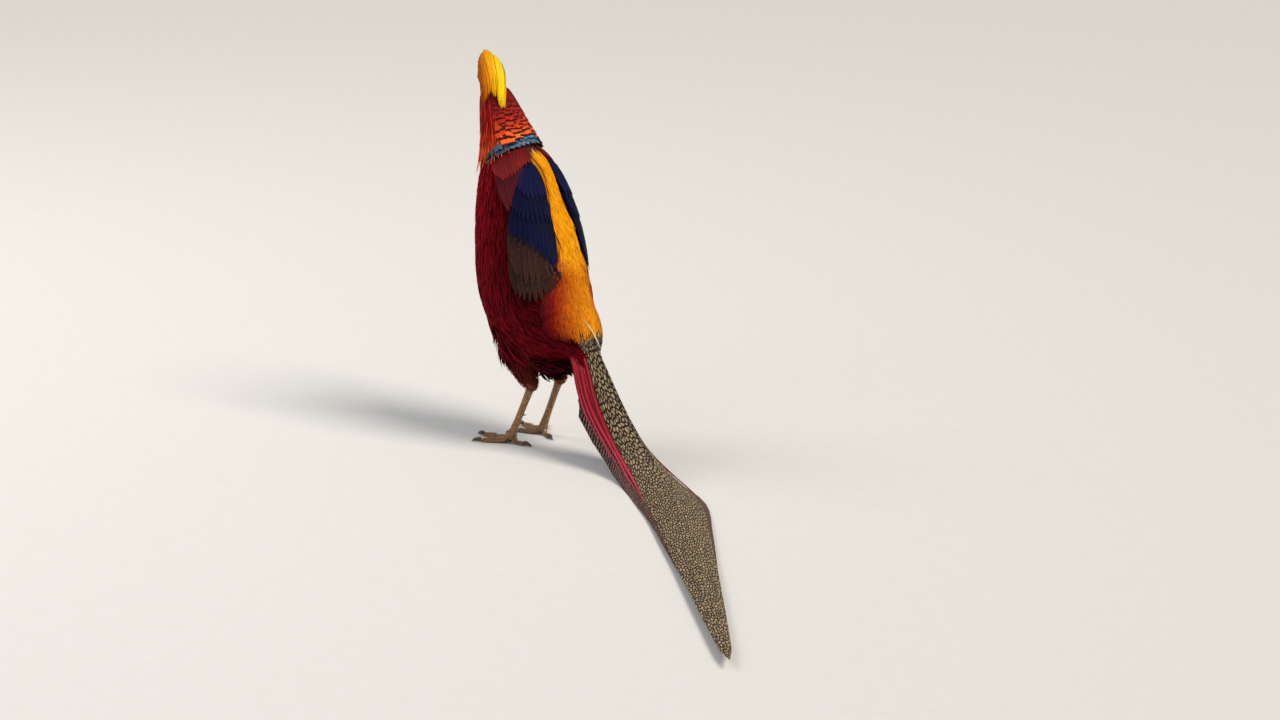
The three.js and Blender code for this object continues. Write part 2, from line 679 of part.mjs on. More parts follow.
const pheasant = new THREE.Group();
for (const [name, made] of nodes) {
  const { vertProperties, triVerts } = made.getMesh();
  const geometry = new THREE.BufferGeometry();
  geometry.setAttribute("position", new THREE.BufferAttribute(vertProperties, 3));
  geometry.setIndex(new THREE.BufferAttribute(triVerts, 1));
  geometry.computeVertexNormals();
  const material = new THREE.MeshStandardMaterial({
    color: COLOURS[name.split("_")[0]],
    roughness: 0.6,
    metalness: 0,
  });
  const mesh = new THREE.Mesh(geometry, material);
  mesh.name = name;
  pheasant.add(mesh);
}

// The origin is on the floor, below the middle of the whole bird
const bounds = new THREE.Box3().setFromObject(pheasant);
const middle = bounds.getCenter(vec());
pheasant.position.set(-middle.x, -middle.y, -bounds.min.z);

export default pheasant;
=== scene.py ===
# %% [markdown]
# # A golden pheasant, feather by feather
# The bird is a grown male: yellow silk crest, barred orange cape, blue-green mantle, golden back, crimson
# underside and a spotted tail two thirds of its length. The solids already stand in the right place, so this
# lesson dresses them: first a bare skin, then every kind of feather laid on it in the order a bird grows them.

import math

import bmesh
import bpy
import numpy as np
from mathutils import Matrix, Vector, kdtree, noise
from mathutils.bvhtree import BVHTree


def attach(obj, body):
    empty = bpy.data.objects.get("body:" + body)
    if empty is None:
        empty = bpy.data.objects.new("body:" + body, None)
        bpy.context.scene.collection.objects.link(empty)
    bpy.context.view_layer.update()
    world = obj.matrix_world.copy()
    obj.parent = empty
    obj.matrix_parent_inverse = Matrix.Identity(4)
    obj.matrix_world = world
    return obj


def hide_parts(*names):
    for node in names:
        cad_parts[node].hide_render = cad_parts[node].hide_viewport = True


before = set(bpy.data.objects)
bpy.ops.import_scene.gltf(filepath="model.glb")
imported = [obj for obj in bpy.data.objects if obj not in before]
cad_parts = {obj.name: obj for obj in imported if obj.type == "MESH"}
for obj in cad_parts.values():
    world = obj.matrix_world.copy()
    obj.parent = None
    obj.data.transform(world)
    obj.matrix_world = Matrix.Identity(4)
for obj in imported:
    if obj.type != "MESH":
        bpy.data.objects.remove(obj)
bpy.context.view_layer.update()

# %% [markdown]
# ## Sizes that the solids were made from
# The same sections that shaped the solids shape the skin here. They are in millimetres, with the bird facing
# +Y, and one shift takes them to the place of the solids.

# %% Named sizes
MM = 0.001
SHIFT = np.array([131.039, 280.785, 0.0])
TRUNK = [
    [0, -97, 112, 15, 13],
    [0, -73, 121, 30, 31],
    [0, -37, 130, 45, 56],
    [0, -6, 157, 51, 60],
    [0, 7, 208, 51, 52],
    [0, 21, 256, 41.5, 41],
    [0, 34, 291, 28, 28],
    [0, 47, 320, 20, 17.5],
    [0, 58, 345, 14.5, 13.5],
    [0, 64, 358, 8, 8],
]
HEAD = [
    [0, -21, 0, 3, 4],
    [0, -15, 1.5, 9.5, 10.5],
    [0, -4, 2.5, 13, 14],
    [0, 7, 1.5, 12.4, 12.8],
    [0, 15, -0.5, 9.4, 9.8],
    [0, 21, -2, 6.2, 7],
    [0, 25, -2.5, 3, 3.6],
]
HEAD_CENTRE = (3, 66, 357)
HEAD_TURN = math.radians(-34)
HEAD_LIFT = math.radians(6)
BACK = [
    [0, -84, 110, 14, 8],
    [0, -67, 133, 27, 17],
    [0, -46.5, 149.5, 35, 22],
    [0, -34.8, 172.6, 41, 25],
    [0, -23.6, 200, 41, 25],
    [0, -13.2, 223.8, 40, 25],
    [0, 2.6, 253, 36, 25],
    [0, 13.8, 269, 33, 25],
    [0, 25.2, 282.4, 28, 25],
    [0, 35.4, 294.3, 24, 25],
]
THIGH = [
    [17, 4, 142, 8, 8],
    [20, 2, 122, 17, 22],
    [21, -5, 99, 16.5, 22],
    [21, -14, 81, 13, 16],
    [20.5, -23, 68, 8, 9],
    [20, -27, 61, 4.5, 5],
]
THIGH_HOCK_Y = -27
SHANK_RADII = [4.4, 3.4, 3.2, 3.6, 4.6]
LEGS = {
    "left": {"sign": -1, "hock": (-20, -31, 70), "foot": (-22, 1, 9), "heading": math.radians(6)},
    "right": {"sign": 1, "hock": (20, -25, 70), "foot": (23, 8, 9), "heading": math.radians(-8)},
}
TOES = {
    "middle": {"turn": 0, "length": 41, "radius": 3.6, "joints": 3},
    "inner": {"turn": 36, "length": 29, "radius": 3.3, "joints": 2},
    "outer": {"turn": -36, "length": 32, "radius": 3.2, "joints": 3},
    "hind": {"turn": 172, "length": 16, "radius": 2.7, "joints": 1},
}
CLAW_LENGTH, CLAW_RADIUS = 10.5, 2
TWIST = math.radians(11)
WING_T, WING_TURN = 0.5, math.radians(41)
WING_HALF_LENGTH, WING_HALF_WIDTH = 0.14, math.radians(21)
TAIL_ROOT = np.array([0.0, -90, 118])
TAIL_DROOP, TAIL_BEND = math.radians(57), 228
TAIL_SWING, TAIL_SWUNG_AT = math.radians(35), 300
TAIL_LENGTH = 700
TAIL_RIDGE, TAIL_SLOPE = 9.5, math.radians(17)
SIDES = {"left": -1, "right": 1}

# %% [markdown]
# ## Curves and bodies
# A body is a row of ellipses along a smooth curve. Asked with a place along it, `t`, and a turn round it, it
# gives a point on the surface, so that thousands of feathers can be laid on it at once.


# %% Smooth steps and directions
def unit(v):
    return v / np.maximum(np.linalg.norm(v, axis=-1, keepdims=True), 1e-12)


def square_to(out, way):
    """A way turned square to another."""
    return unit(way - out * (way * out).sum(-1, keepdims=True))


def smooth(x, low, high):
    x = np.clip((np.asarray(x, float) - low) / (high - low), 0, 1)
    return x * x * (3 - 2 * x)


def mix(a, b, share):
    return a + (b - a) * share


def spline(rows, t):
    """A smooth curve through rows of numbers, straight beyond its ends."""
    rows, t = np.asarray(rows, float), np.asarray(t, float)
    last = len(rows) - 1
    u = t * last
    inside = np.clip(u, 0, last)
    i = np.clip(np.floor(inside).astype(int), 0, last - 1)
    f = (inside - i)[..., None]
    b, c = rows[i], rows[i + 1]
    a = np.where((i > 0)[..., None], rows[i - 1], 2 * b - c)
    d = np.where((i + 2 <= last)[..., None], rows[np.minimum(i + 2, last)], 2 * c - b)
    curve = b + 0.5 * f * (c - a + f * (2 * a - 5 * b + 4 * c - d + f * (3 * (b - c) + d - a)))
    beyond = (u - inside)[..., None]
    ends = np.where(beyond < 0, rows[1] - rows[0], rows[-1] - rows[-2])
    return curve + beyond * ends


# %% A body of ellipses
NUDGE, NUDGE_TURN = 1e-3, 1e-2  # steps along and round a body that its slopes are taken over


class Body:
    """Rows of centre, half width and half depth."""

    def __init__(self, rows, place=None):
        self.rows = np.array(rows, float)
        self.place = np.eye(4) if place is None else np.array(place)

    def centre(self, t):
        return self.put(spline(self.rows, t)[..., :3])

    def put(self, points):
        return points @ self.place[:3, :3].T + self.place[:3, 3]

    def at(self, t, turn):
        t, turn = np.asarray(t, float), np.asarray(turn, float)[..., None]
        row = spline(self.rows, t)
        along = unit(spline(self.rows, t + NUDGE)[..., :3] - spline(self.rows, t - NUDGE)[..., :3])
        across = unit(np.array([1.0, 0, 0]) - along * along[..., :1])
        back = np.cross(across, along)
        wide, deep = row[..., 3:4], row[..., 4:5]
        return self.put(row[..., :3] + across * wide * np.sin(turn) + back * deep * np.cos(turn))

    def slopes(self, t, turn):
        by_t = (self.at(t + NUDGE, turn) - self.at(t - NUDGE, turn)) / (2 * NUDGE)
        by_turn = (self.at(t, turn + NUDGE_TURN) - self.at(t, turn - NUDGE_TURN)) / (2 * NUDGE_TURN)
        return by_t, by_turn

    def outward(self, t, turn):
        by_t, by_turn = self.slopes(t, turn)
        return unit(np.cross(by_turn, by_t))


trunk = Body(TRUNK)
head_place = (
    Matrix.Translation(HEAD_CENTRE) @ Matrix.Rotation(HEAD_TURN, 4, "Z") @ Matrix.Rotation(HEAD_LIFT, 4, "X")
)
head = Body(HEAD, head_place)
thighs = [
    Body([[leg["sign"] * x, y + leg["hock"][1] - THIGH_HOCK_Y, *rest] for x, y, *rest in THIGH])
    for leg in LEGS.values()
]
print("trunk middle:", trunk.centre(np.array([0.5])).round(1))


# %% [markdown]
# ## Camera
# The camera comes first, because colours and feather tracts are set out by where they show in the photograph.
# It looks from behind and to the left, a little down, and one pixel is one millimetre at the bird.

# %% Camera
AZIMUTH, ELEVATION, DISTANCE = math.radians(-38), math.radians(15), 3.5
FRAME_WIDE, FRAME_HIGH = 1280, 720
BETWEEN_FEET = Vector(SHIFT) * MM
right = Vector((math.cos(AZIMUTH), math.sin(AZIMUTH), 0))
level = Vector((math.sin(AZIMUTH), -math.cos(AZIMUTH), 0))
backwards = level * math.cos(ELEVATION) + Vector((0, 0, math.sin(ELEVATION)))
upwards = backwards.cross(right)
# The feet stand left of the middle of the photograph and below it, by these lengths at life size
FEET_LEFT, FEET_BELOW = 0.110, 0.080
eye_point = BETWEEN_FEET + backwards * DISTANCE
target = BETWEEN_FEET + right * FEET_LEFT + upwards * FEET_BELOW
camera_data = bpy.data.cameras.new("camera")
camera_data.sensor_width = 36
camera_data.lens = 36 * DISTANCE / (FRAME_WIDE * MM)
camera_data.clip_end = 100
camera = bpy.data.objects.new("camera", camera_data)
camera.location = eye_point
# The camera turns a little to take the feet off the middle, without tilting its own sideways axis
away = (eye_point - target).normalized()
sideways = (right - away * right.dot(away)).normalized()
camera.rotation_euler = Matrix((sideways, away.cross(sideways), away)).transposed().to_euler()
bpy.context.scene.collection.objects.link(camera)
bpy.context.scene.camera = camera
bpy.context.view_layer.update()


# %% Lines of sight
def ray(pixel):
    """The line of sight through a pixel of the photograph."""
    x, y = (pixel[0] - FRAME_WIDE / 2) * MM / DISTANCE, (FRAME_HIGH / 2 - pixel[1]) * MM / DISTANCE
    return camera.matrix_world.to_3x3() @ Vector((x, y, -1))


# %% [markdown]
# ## Colour
# Colours are written as sRGB hex values, the way a paint chart gives them, and turned to linear light once.


# %% Hex to linear
def linear(hex_colour):
    parts = [int(hex_colour[i : i + 2], 16) / 255 for i in (1, 3, 5)]
    return np.array([c / 12.92 if c <= 0.04045 else ((c + 0.055) / 1.055) ** 2.4 for c in parts])


def ramp(x, *stops):
    places = [place for place, _ in stops]
    colours = np.array([linear(colour) for _, colour in stops])
    return np.stack([np.interp(x, places, colours[:, k]) for k in range(3)], axis=-1)


def rgba(hex_colour):
    return (*linear(hex_colour), 1.0)


# %% [markdown]
# ## Node materials
# Every feather carries two small maps: `Vane`, which runs from 0 to 1 across and along it, and `Barb`, the
# same in millimetres, so that barbs are as fine on a long feather as on a short one. Two colours painted on
# each feather, `root` and `tip`, say where on the bird it grows.


# %% Nodes
def add(tree, kind, inputs=(), **settings):
    """Adds a node. Its inputs are values, sockets, or nodes that stand for their first output."""
    node = tree.nodes.new("ShaderNode" + kind)
    for name, value in settings.items():
        setattr(node, name, value)
    for key, value in inputs.items() if isinstance(inputs, dict) else enumerate(inputs):
        if isinstance(value, bpy.types.Node):
            value = value.outputs[0]
        if isinstance(value, bpy.types.NodeSocket):
            tree.links.new(value, node.inputs[key])
        else:
            node.inputs[key].default_value = value
    return node


def calc(tree, operation, *values):
    return add(tree, "Math", values, operation=operation)


def step(tree, value, low, high):
    return add(tree, "MapRange", [value, low, high], interpolation_type="SMOOTHSTEP")


def blend(tree, share, a, b, how="MIX"):
    return add(tree, "Mix", {0: share, 6: a, 7: b}, data_type="RGBA", blend_type=how).outputs[2]


def painted(tree, name, output=0):
    return add(tree, "Attribute", attribute_name=name).outputs[output]


def grain(tree, scale, detail=4.0):
    """Noise by place on the piece."""
    place = add(tree, "TexCoord").outputs["Object"]
    return add(tree, "TexNoise", {"Vector": place, "Scale": scale, "Detail": detail})


def new_material(name, looks):
    """A material from a function that fills its tree and gives the inputs of its shader."""
    material = bpy.data.materials.new(name)
    material.use_nodes = True
    tree = material.node_tree
    tree.nodes.clear()
    add(tree, "OutputMaterial", [add(tree, "BsdfPrincipled", looks(tree))])
    return material


# %% Feather material
BARB_SPACING = 1.1  # drawn about four times as coarse as real barbs, so that they show
BARB_SLANT = 1.1  # how far barbs run towards the tip, per millimetre from the shaft
APART = 60.0  # how far two feathers may lie apart in the noise, so that no two are alike


def feather_material(name, pattern, roughness, gloss=0.35, shaft=None, shaft_share=0.5, barb=0.5, sheen=0.0):
    """A vane with barbs and, where its colour is given, a shaft. A pattern is a function that adds to the colour."""
    def looks(tree):
        vane, size = (add(tree, "SeparateXYZ", [add(tree, "UVMap", uv_map=key)]).outputs for key in ("Vane", "Barb"))
        chance = painted(tree, "chance", 2)
        side, far = calc(tree, "ABSOLUTE", size[0]), size[1]
        place = add(tree, "CombineXYZ", [calc(tree, "MULTIPLY_ADD", chance, APART, size[0]), far, chance])
        mottle = add(tree, "TexNoise", {"Vector": place, "Scale": 0.35, "Detail": 3.0})
        across = calc(tree, "ABSOLUTE", calc(tree, "MULTIPLY_ADD", vane[0], 2.0, -1.0))
        colour = blend(tree, step(tree, vane[1], 0.35, 0.95), painted(tree, "root"), painted(tree, "tip"))
        if pattern:
            maps = {"across": across, "along": vane[1], "side": side, "far": far, "noise": mottle, "place": place}
            colour = pattern(tree, colour, maps)
        slant = calc(tree, "MULTIPLY_ADD", side, -BARB_SLANT, far)
        wobble = calc(tree, "MULTIPLY_ADD", mottle, 1.6, slant)
        barbs = calc(tree, "SINE", calc(tree, "MULTIPLY", wobble, 2 * math.pi / BARB_SPACING))
        # Darker between barbs, in patches of the feather, and from one feather to the next
        shade = calc(tree, "MULTIPLY_ADD", barbs, 0.10 * barb, 0.94)
        shade = calc(tree, "MULTIPLY", shade, calc(tree, "MULTIPLY_ADD", mottle, 0.5, 0.78))
        shade = calc(tree, "MULTIPLY", shade, calc(tree, "MULTIPLY_ADD", chance, 0.3, 0.85))
        colour = blend(tree, 1.0, colour, add(tree, "CombineColor", [shade, shade, shade]).outputs[0], "MULTIPLY")
        if shaft:
            on_shaft = calc(tree, "SUBTRACT", 1.0, step(tree, side, 0.12, 0.34))
            colour = blend(tree, calc(tree, "MULTIPLY", on_shaft, shaft_share), colour, rgba(shaft))
        bump = add(tree, "Bump", {"Strength": 0.5 * barb, "Distance": 0.0004, "Height": barbs})
        return {"Base Color": colour, "Roughness": roughness, "Specular IOR Level": gloss, "Sheen Weight": sheen,
                "Sheen Roughness": 0.4, "Normal": bump}

    return new_material(name, looks)


# %% [markdown]
# ## Laying feathers
# A feather is a small curved blade, closed all round and a little thicker along its middle. A whole tract of
# them is placed at once: each starts with its root under the skin and runs back along the bird, rising as it
# goes, so that it lies over the roots of the feathers behind it like a roof tile.

# %% Outlines of a vane, as a share of its half width
ROUND_STEPS = (0, 0.2, 0.42, 0.63, 0.81, 0.93, 1)
POINT_STEPS = (0, 0.16, 0.36, 0.58, 0.8, 1)
SHORT_STEPS = (0, 0.3, 0.6, 0.85, 1)


def rounded(share):
    return mix(0.45, 1, smooth(share, 0, 0.35)) * np.sqrt(np.clip(1.04 - smooth(share, 0.55, 1.02), 0, 1))


def squared(share):
    return mix(0.5, 1, smooth(share, 0, 0.8)) * (1 - 0.3 * smooth(share, 0.88, 1))


def pointed(share):
    return mix(0.5, 1, smooth(share, 0, 0.35)) * mix(1, 0.1, smooth(share, 0.4, 1))


# %% Walk along a body and lay blades
WALK_STEP = 2.5


def walk(shape, t, turn, heading, distance):
    """Goes a distance along a body, in short steps, so that it keeps its heading on a curved one."""
    count = max(1, int(math.ceil(np.max(distance) / WALK_STEP)))
    for _ in range(count):
        by_t, by_turn = shape.slopes(t, turn)
        t = t - distance * np.cos(heading) / np.linalg.norm(by_t, axis=-1) / count
        turn = turn + distance * np.sin(heading) / np.linalg.norm(by_turn, axis=-1) / count
    return t, turn


def blades(centres, sides, ups, halves, shares, cols, camber, thick):
    """Closed blades from their middle lines and the ways across and up, as arrays of feathers x rows x 3."""
    columns = np.linspace(-1, 1, cols)[None, None, :, None]
    half = halves[..., None, None]
    top = centres[:, :, None] + sides[:, :, None] * half * columns
    top = top - ups[:, :, None] * (half * camber * columns**2)
    under = top[:, 1:-1, 1:-1] - ups[:, 1:-1, None] * thick
    return {"top": top, "under": under, "shares": np.array(shares), "halves": halves, "columns": columns.ravel()}


def lay(shape, t, turn, length, half, lifts, heading, roll, outline, shares=ROUND_STEPS, cols=3, camber=0.2,
        thick=0.35):
    """Blades that start at places on a body and walk along it."""
    t, turn = np.asarray(t, float), np.asarray(turn, float)
    whole = np.ones_like(t)
    length, half, heading, roll = (whole * value for value in (length, half, heading, roll))
    bake = np.stack([(turn / (2 * math.pi)) % 1, np.clip(t, 0, 1)], axis=-1)
    low, high = (whole * lift for lift in lifts)
    centres, sides, ups, halves = [], [], [], []
    for i, share in enumerate(shares):
        if i:
            t, turn = walk(shape, t, turn, heading, length * (share - shares[i - 1]))
        by_t, by_turn = shape.slopes(t, turn)
        out = unit(np.cross(by_turn, by_t))
        way = unit(unit(by_turn) * np.sin(heading)[:, None] - unit(by_t) * np.cos(heading)[:, None])
        up = out * np.cos(roll)[:, None] + np.cross(way, out) * np.sin(roll)[:, None]
        lift = mix(low, high, math.sqrt(share))
        centres.append(shape.at(t, turn) + out * lift[:, None])
        sides.append(unit(np.cross(way, up)))
        ups.append(up)
        halves.append(half * outline(share))
    made = blades(*(np.stack(parts, axis=1) for parts in (centres, sides, ups, halves)), shares, cols, camber, thick)
    return {**made, "length": length, "bake": bake}


# %% Lay blades on the skin
def framed(paths, outs, length, half, lifts, roll, outline, shares, cols, camber, thick, bake):
    """Blades along paths of points that lie on a surface whose way out is known."""
    count = len(paths)
    half, roll = (np.broadcast_to(value, count)[:, None] for value in (half, roll))
    ways = unit(np.gradient(paths, axis=1))
    ups = square_to(ways, outs)
    ups = ups * np.cos(roll)[..., None] + np.cross(ways, ups) * np.sin(roll)[..., None]
    sides = np.cross(ways, ups)
    low, high = (np.broadcast_to(lift, count)[:, None] for lift in lifts)
    share = np.array(shares)[None]
    lift = mix(low, high, np.sqrt(share))
    halves = half * np.broadcast_to(outline(share), lift.shape)
    made = blades(paths + outs * lift[..., None], sides, ups, halves, shares, cols, camber, thick)
    return {**made, "length": np.broadcast_to(length, count), "bake": bake}


def lay_on_skin(roots, labels, length, half, lifts, heading, roll, thick=0.2):
    """Blades that start at roots on the skin and follow the lie of the coat."""
    spots, out, _ = surface.rest(roots)
    way = square_to(out, surface.known["flow"][labels])
    heading = np.broadcast_to(heading, len(roots))[:, None]
    way = way * np.cos(heading) + np.cross(out, way) * np.sin(heading)
    length = np.broadcast_to(length, len(roots))
    paths, outs = [spots], [out]
    for before, share in zip(SHORT_STEPS, SHORT_STEPS[1:]):
        spots, out, _ = surface.rest(spots + way * (length * (share - before))[:, None])
        way = square_to(out, way)
        paths.append(spots)
        outs.append(out)
    bake = surface.known["bake"][labels]
    paths, outs = np.stack(paths, 1), np.stack(outs, 1)
    return framed(paths, outs, length, half, lifts, roll, pointed, SHORT_STEPS, 3, 0.18, thick, bake)


def lay_along(paths, half, lifts, roll=0.0, outline=rounded, shares=ROUND_STEPS, cols=5, camber=0.12, thick=0.4):
    """Blades along given paths, set down on the skin."""
    paths, outs, near = surface.rest(paths)
    length = np.linalg.norm(np.diff(paths, axis=1), axis=-1).sum(axis=1)
    bake = surface.known["bake"][near.reshape(len(paths), -1)[:, 0]]
    return framed(paths, outs, length, half, lifts, roll, outline, shares, cols, camber, thick, bake)


# %% Numbers out of and into a mesh
def read(items, key, width, kind=np.int32):
    values = np.empty(len(items) * width, kind)
    items.foreach_get(key, values)
    return values.reshape(-1, width)


def store(mesh, name, values):
    """Keeps a number or a colour with each point of a mesh, for its material to read."""
    kind, key = "FLOAT", "value"
    if values.ndim > 1:
        kind, key = "FLOAT_COLOR", "color"
        values = np.concatenate([values, np.ones((len(values), 1))], axis=1)
    mesh.attributes.new(name, kind, "POINT").data.foreach_set(key, values.astype(np.float32).ravel())


# %% Join blades into one piece
BAKE_PATCH = 0.003  # how large a feather is on the OFBake map
OFF_FLOOR = 0.0003  # metres


def tract(layer, material, root, tip, seed):
    """Adds the finish to a laid layer: its material and the two colours of each feather."""
    count = len(layer["length"])
    chance = np.random.default_rng(seed).random(count)
    root, tip = (np.broadcast_to(np.asarray(colour, float), (count, 3)) for colour in (root, tip))
    return {**layer, "material": material, "root": root, "tip": tip, "chance": chance}


def blade_faces(rows, cols):
    """The faces of one blade, and which of its points lie on its rim."""
    top = lambda i, j: i * cols + j
    inner = lambda i, j: rows * cols + (i - 1) * (cols - 2) + j - 1
    edge = lambda i, j: i in (0, rows - 1) or j in (0, cols - 1)
    under = lambda i, j: top(i, j) if edge(i, j) else inner(i, j)
    faces = []
    for i in range(rows - 1):
        for j in range(cols - 1):
            faces.append((top(i, j), top(i, j + 1), top(i + 1, j + 1), top(i + 1, j)))
            faces.append((under(i, j), under(i + 1, j), under(i + 1, j + 1), under(i, j + 1)))
    rim = [edge(i, j) for i in range(rows) for j in range(cols)] + [False] * ((rows - 2) * (cols - 2))
    return np.array(faces), np.array(rim)


def at_points(values, shape):
    """Values over a grid of feathers x rows x columns, at the points of the tops and then of the undersides."""
    grid = np.broadcast_to(values, shape)
    return np.concatenate([part.reshape(len(grid), -1) for part in (grid, grid[:, 1:-1, 1:-1])], axis=1)


def finish_piece(piece, replaces):
    """Links a piece and says what it rides on and which solids it takes the place of."""
    bpy.context.scene.collection.objects.link(piece)
    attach(piece, "root")
    if replaces:
        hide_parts(*replaces)
    print(piece.name, "triangles", sum(len(p.vertices) - 2 for p in piece.data.polygons))
    return piece


def feather_piece(name, tracts, replaces=(), floor=False):
    """One object from many laid tracts, with its maps and colours."""
    maps, paints = ("Vane", "Barb", "OFBake"), ("root", "tip", "chance")
    found = {key: [] for key in ("point", "face", "finish", "rim", *maps, *paints)}
    materials = list(dict.fromkeys(layer["material"] for layer in tracts))
    start = 0
    for layer in tracts:
        count, rows, cols = shape = layer["top"].shape[:3]
        faces, rim = blade_faces(rows, cols)
        points = np.concatenate([layer["top"].reshape(count, -1, 3), layer["under"].reshape(count, -1, 3)], axis=1)
        each = points.shape[1]
        across, along = at_points(layer["columns"], shape), at_points(layer["shares"][:, None], shape)
        halves = at_points(layer["halves"][..., None], shape)
        vane = np.stack([across / 2 + 0.5, along], axis=-1)
        barb = np.stack([across * halves, along * layer["length"][:, None]], axis=-1)
        bake = layer["bake"][:, None] * (1 - BAKE_PATCH) + vane * BAKE_PATCH
        for key, values in zip(maps, (vane, barb, bake)):
            found[key].append(values.reshape(-1, 2))
        for key in paints:
            found[key].append(np.repeat(layer[key], each, axis=0))
        found["point"].append(points.reshape(-1, 3))
        found["face"].append((faces[None] + start + np.arange(count)[:, None, None] * each).reshape(-1, 4))
        found["finish"].append(np.full(count * len(faces), materials.index(layer["material"])))
        found["rim"].append(np.tile(rim, count))
        start += count * each
    found = {key: np.concatenate(values) for key, values in found.items()}
    points = (found["point"] + SHIFT) * MM
    if floor:
        points[:, 2] = np.maximum(points[:, 2], OFF_FLOOR)
    mesh = bpy.data.meshes.new(name)
    mesh.from_pydata(points.tolist(), [], found["face"].tolist())
    mesh.shade_smooth()
    for material in materials:
        mesh.materials.append(material)
    mesh.polygons.foreach_set("material_index", found["finish"].astype(np.int32))
    corners = read(mesh.loops, "vertex_index", 1)[:, 0]
    for key in maps:
        mesh.uv_layers.new(name=key).data.foreach_set("uv", found[key][corners].astype(np.float32).ravel())
    for key in paints:
        store(mesh, key, found[key])
    on_rim = found["rim"][read(mesh.edges, "vertices", 2)].all(axis=1)
    mesh.attributes.new("sharp_edge", "BOOLEAN", "EDGE").data.foreach_set("value", on_rim)
    return finish_piece(bpy.data.objects.new(name, mesh), replaces)


# %% [markdown]
# ## Scattering roots
# Small body feathers grow about evenly spaced, but never in a grid. Dart throwing gives that: points are drawn
# at random over the skin and kept only where no neighbour is nearer than the spacing.


# %% Even random roots
def darts(points, labels, spacing):
    """The points, and their labels, that stay when each must keep its distance from those before it."""
    cells, kept = {}, []
    for n, (point, key) in enumerate(zip(points, map(tuple, np.floor(points / spacing).astype(int)))):
        near = (
            other
            for x in (-1, 0, 1)
            for y in (-1, 0, 1)
            for z in (-1, 0, 1)
            for other in cells.get((key[0] + x, key[1] + y, key[2] + z), ())
        )
        if all((point[0] - q[0]) ** 2 + (point[1] - q[1]) ** 2 + (point[2] - q[2]) ** 2 > spacing**2 for q in near):
            cells.setdefault(key, []).append(point)
            kept.append(n)
    return points[kept], labels[kept]


def wrapped(turn):
    return (turn + math.pi) % (2 * math.pi) - math.pi


# %% [markdown]
# ## Colours of the plumage by place
# One function gives the colour of the trunk at any place, and both the skin and the small feathers read it,
# so that where a feather parts, the skin below has the same colour.


# %% Colour by place on the trunk
def trunk_colour(t, turn):
    off_back = np.degrees(np.abs(wrapped(turn - TWIST)))
    # Painted shade: the crimson is painted darker low on the trunk, towards the belly and vent.
    under = ramp(t, (0.0, "#5E0810"), (0.12, "#580812"), (0.3, "#680814"), (0.42, "#760818"), (0.55, "#86091A"),
                 (0.66, "#9A1018"), (0.74, "#A02A18"), (0.84, "#A8541F"), (0.94, "#B07238"), (1.0, "#B98A55"))
    # Painted shade and light: low on the trunk the crimson is painted darker towards the wing and lighter towards the
    # front.
    shadow = mix(0.42, 1.0, smooth(off_back, 78, 108)) + 0.35 * smooth(off_back, 112, 150)
    under = under * mix(shadow, 1, smooth(t, 0.55, 0.7))[..., None]
    back = ramp(t, (0.0, "#D98A10"), (0.18, "#F0A010"), (0.6, "#F2A30C"), (0.64, "#2A4A5A"), (0.7, "#5A1210"),
                (0.86, "#7A1210"), (1.0, "#D0901E"))
    return mix(back, under, smooth(off_back, 14, 20)[..., None])


def head_colour(t, turn):
    down = smooth(np.degrees(np.abs(wrapped(turn))), 70, 120)[..., None]
    crown = ramp(t, (0.0, "#8A2A10"), (0.3, "#D98A10"), (0.6, "#E8A81C"), (0.9, "#D98F1C"))
    face = ramp(t, (0.0, "#C08A50"), (0.5, "#C49A6A"), (0.9, "#B98A60"))
    return mix(crown, face, down)


def thigh_colour(t, turn):
    return ramp(t, (0.0, "#4A0812"), (0.4, "#4A0A12"), (0.7, "#5A2018"), (0.9, "#8A5A38"), (1.0, "#A8744A"))


# %% [markdown]
# ## The skin
# A living bird has one skin from bill to toes. Each part starts as a ball whose points are moved on to its
# body, the balls are joined, and a voxel remesh melts them into a single closed surface without a seam. On the
# trunk and thighs it lies two millimetres inside, as deep as the feathers' roots reach.

# %% Balls moved on to bodies
SKIN_DEPTH = 2.0


def moved_ball(around, along, move):
    bm = bmesh.new()
    bmesh.ops.create_uvsphere(bm, u_segments=around, v_segments=along, radius=1)
    for vert, spot in zip(bm.verts, move(np.array([v.co for v in bm.verts]))):
        vert.co = spot
    bmesh.ops.recalc_face_normals(bm, faces=bm.faces)
    return bm


def body_ball(shape, around, along, inset=0.0):
    def onto_body(spots):
        t = np.arccos(np.clip(spots[:, 2], -1, 1)) / math.pi
        turn = np.arctan2(spots[:, 0], spots[:, 1])
        pole = np.hypot(spots[:, 0], spots[:, 1]) < 1e-4
        skin = shape.at(t, turn) - shape.outward(t, turn) * inset
        skin[pole] = shape.centre(t[pole])
        return skin

    return moved_ball(around, along, onto_body)


def wing_ball(sign):
    def onto_wing(spots):
        fuller = np.maximum(np.hypot(spots[:, 0], spots[:, 2]), 0.01) ** -0.6
        t = WING_T + WING_HALF_LENGTH * spots[:, 1]
        turn = TWIST + sign * WING_TURN + WING_HALF_WIDTH * spots[:, 0] * fuller
        lift = -3 + 4.2 * np.maximum(spots[:, 2], 0) * fuller
        return trunk.at(t, turn) + trunk.outward(t, turn) * lift[:, None]

    return moved_ball(28, 16, onto_wing)


def absorb(bm, other):
    part = bpy.data.meshes.new("part")
    other.to_mesh(part)
    other.free()
    bm.from_mesh(part)
    bpy.data.meshes.remove(part)


def placed_mesh(name, bm):
    """A mesh in metres, in the place of the solids."""
    mesh = bpy.data.meshes.new(name)
    bm.to_mesh(mesh)
    bm.free()
    mesh.transform(Matrix.Scale(MM, 4) @ Matrix.Translation(SHIFT))
    return mesh


# %% The line of the tail
TAIL_STEP, TAIL_SPARE = 2.0, 21


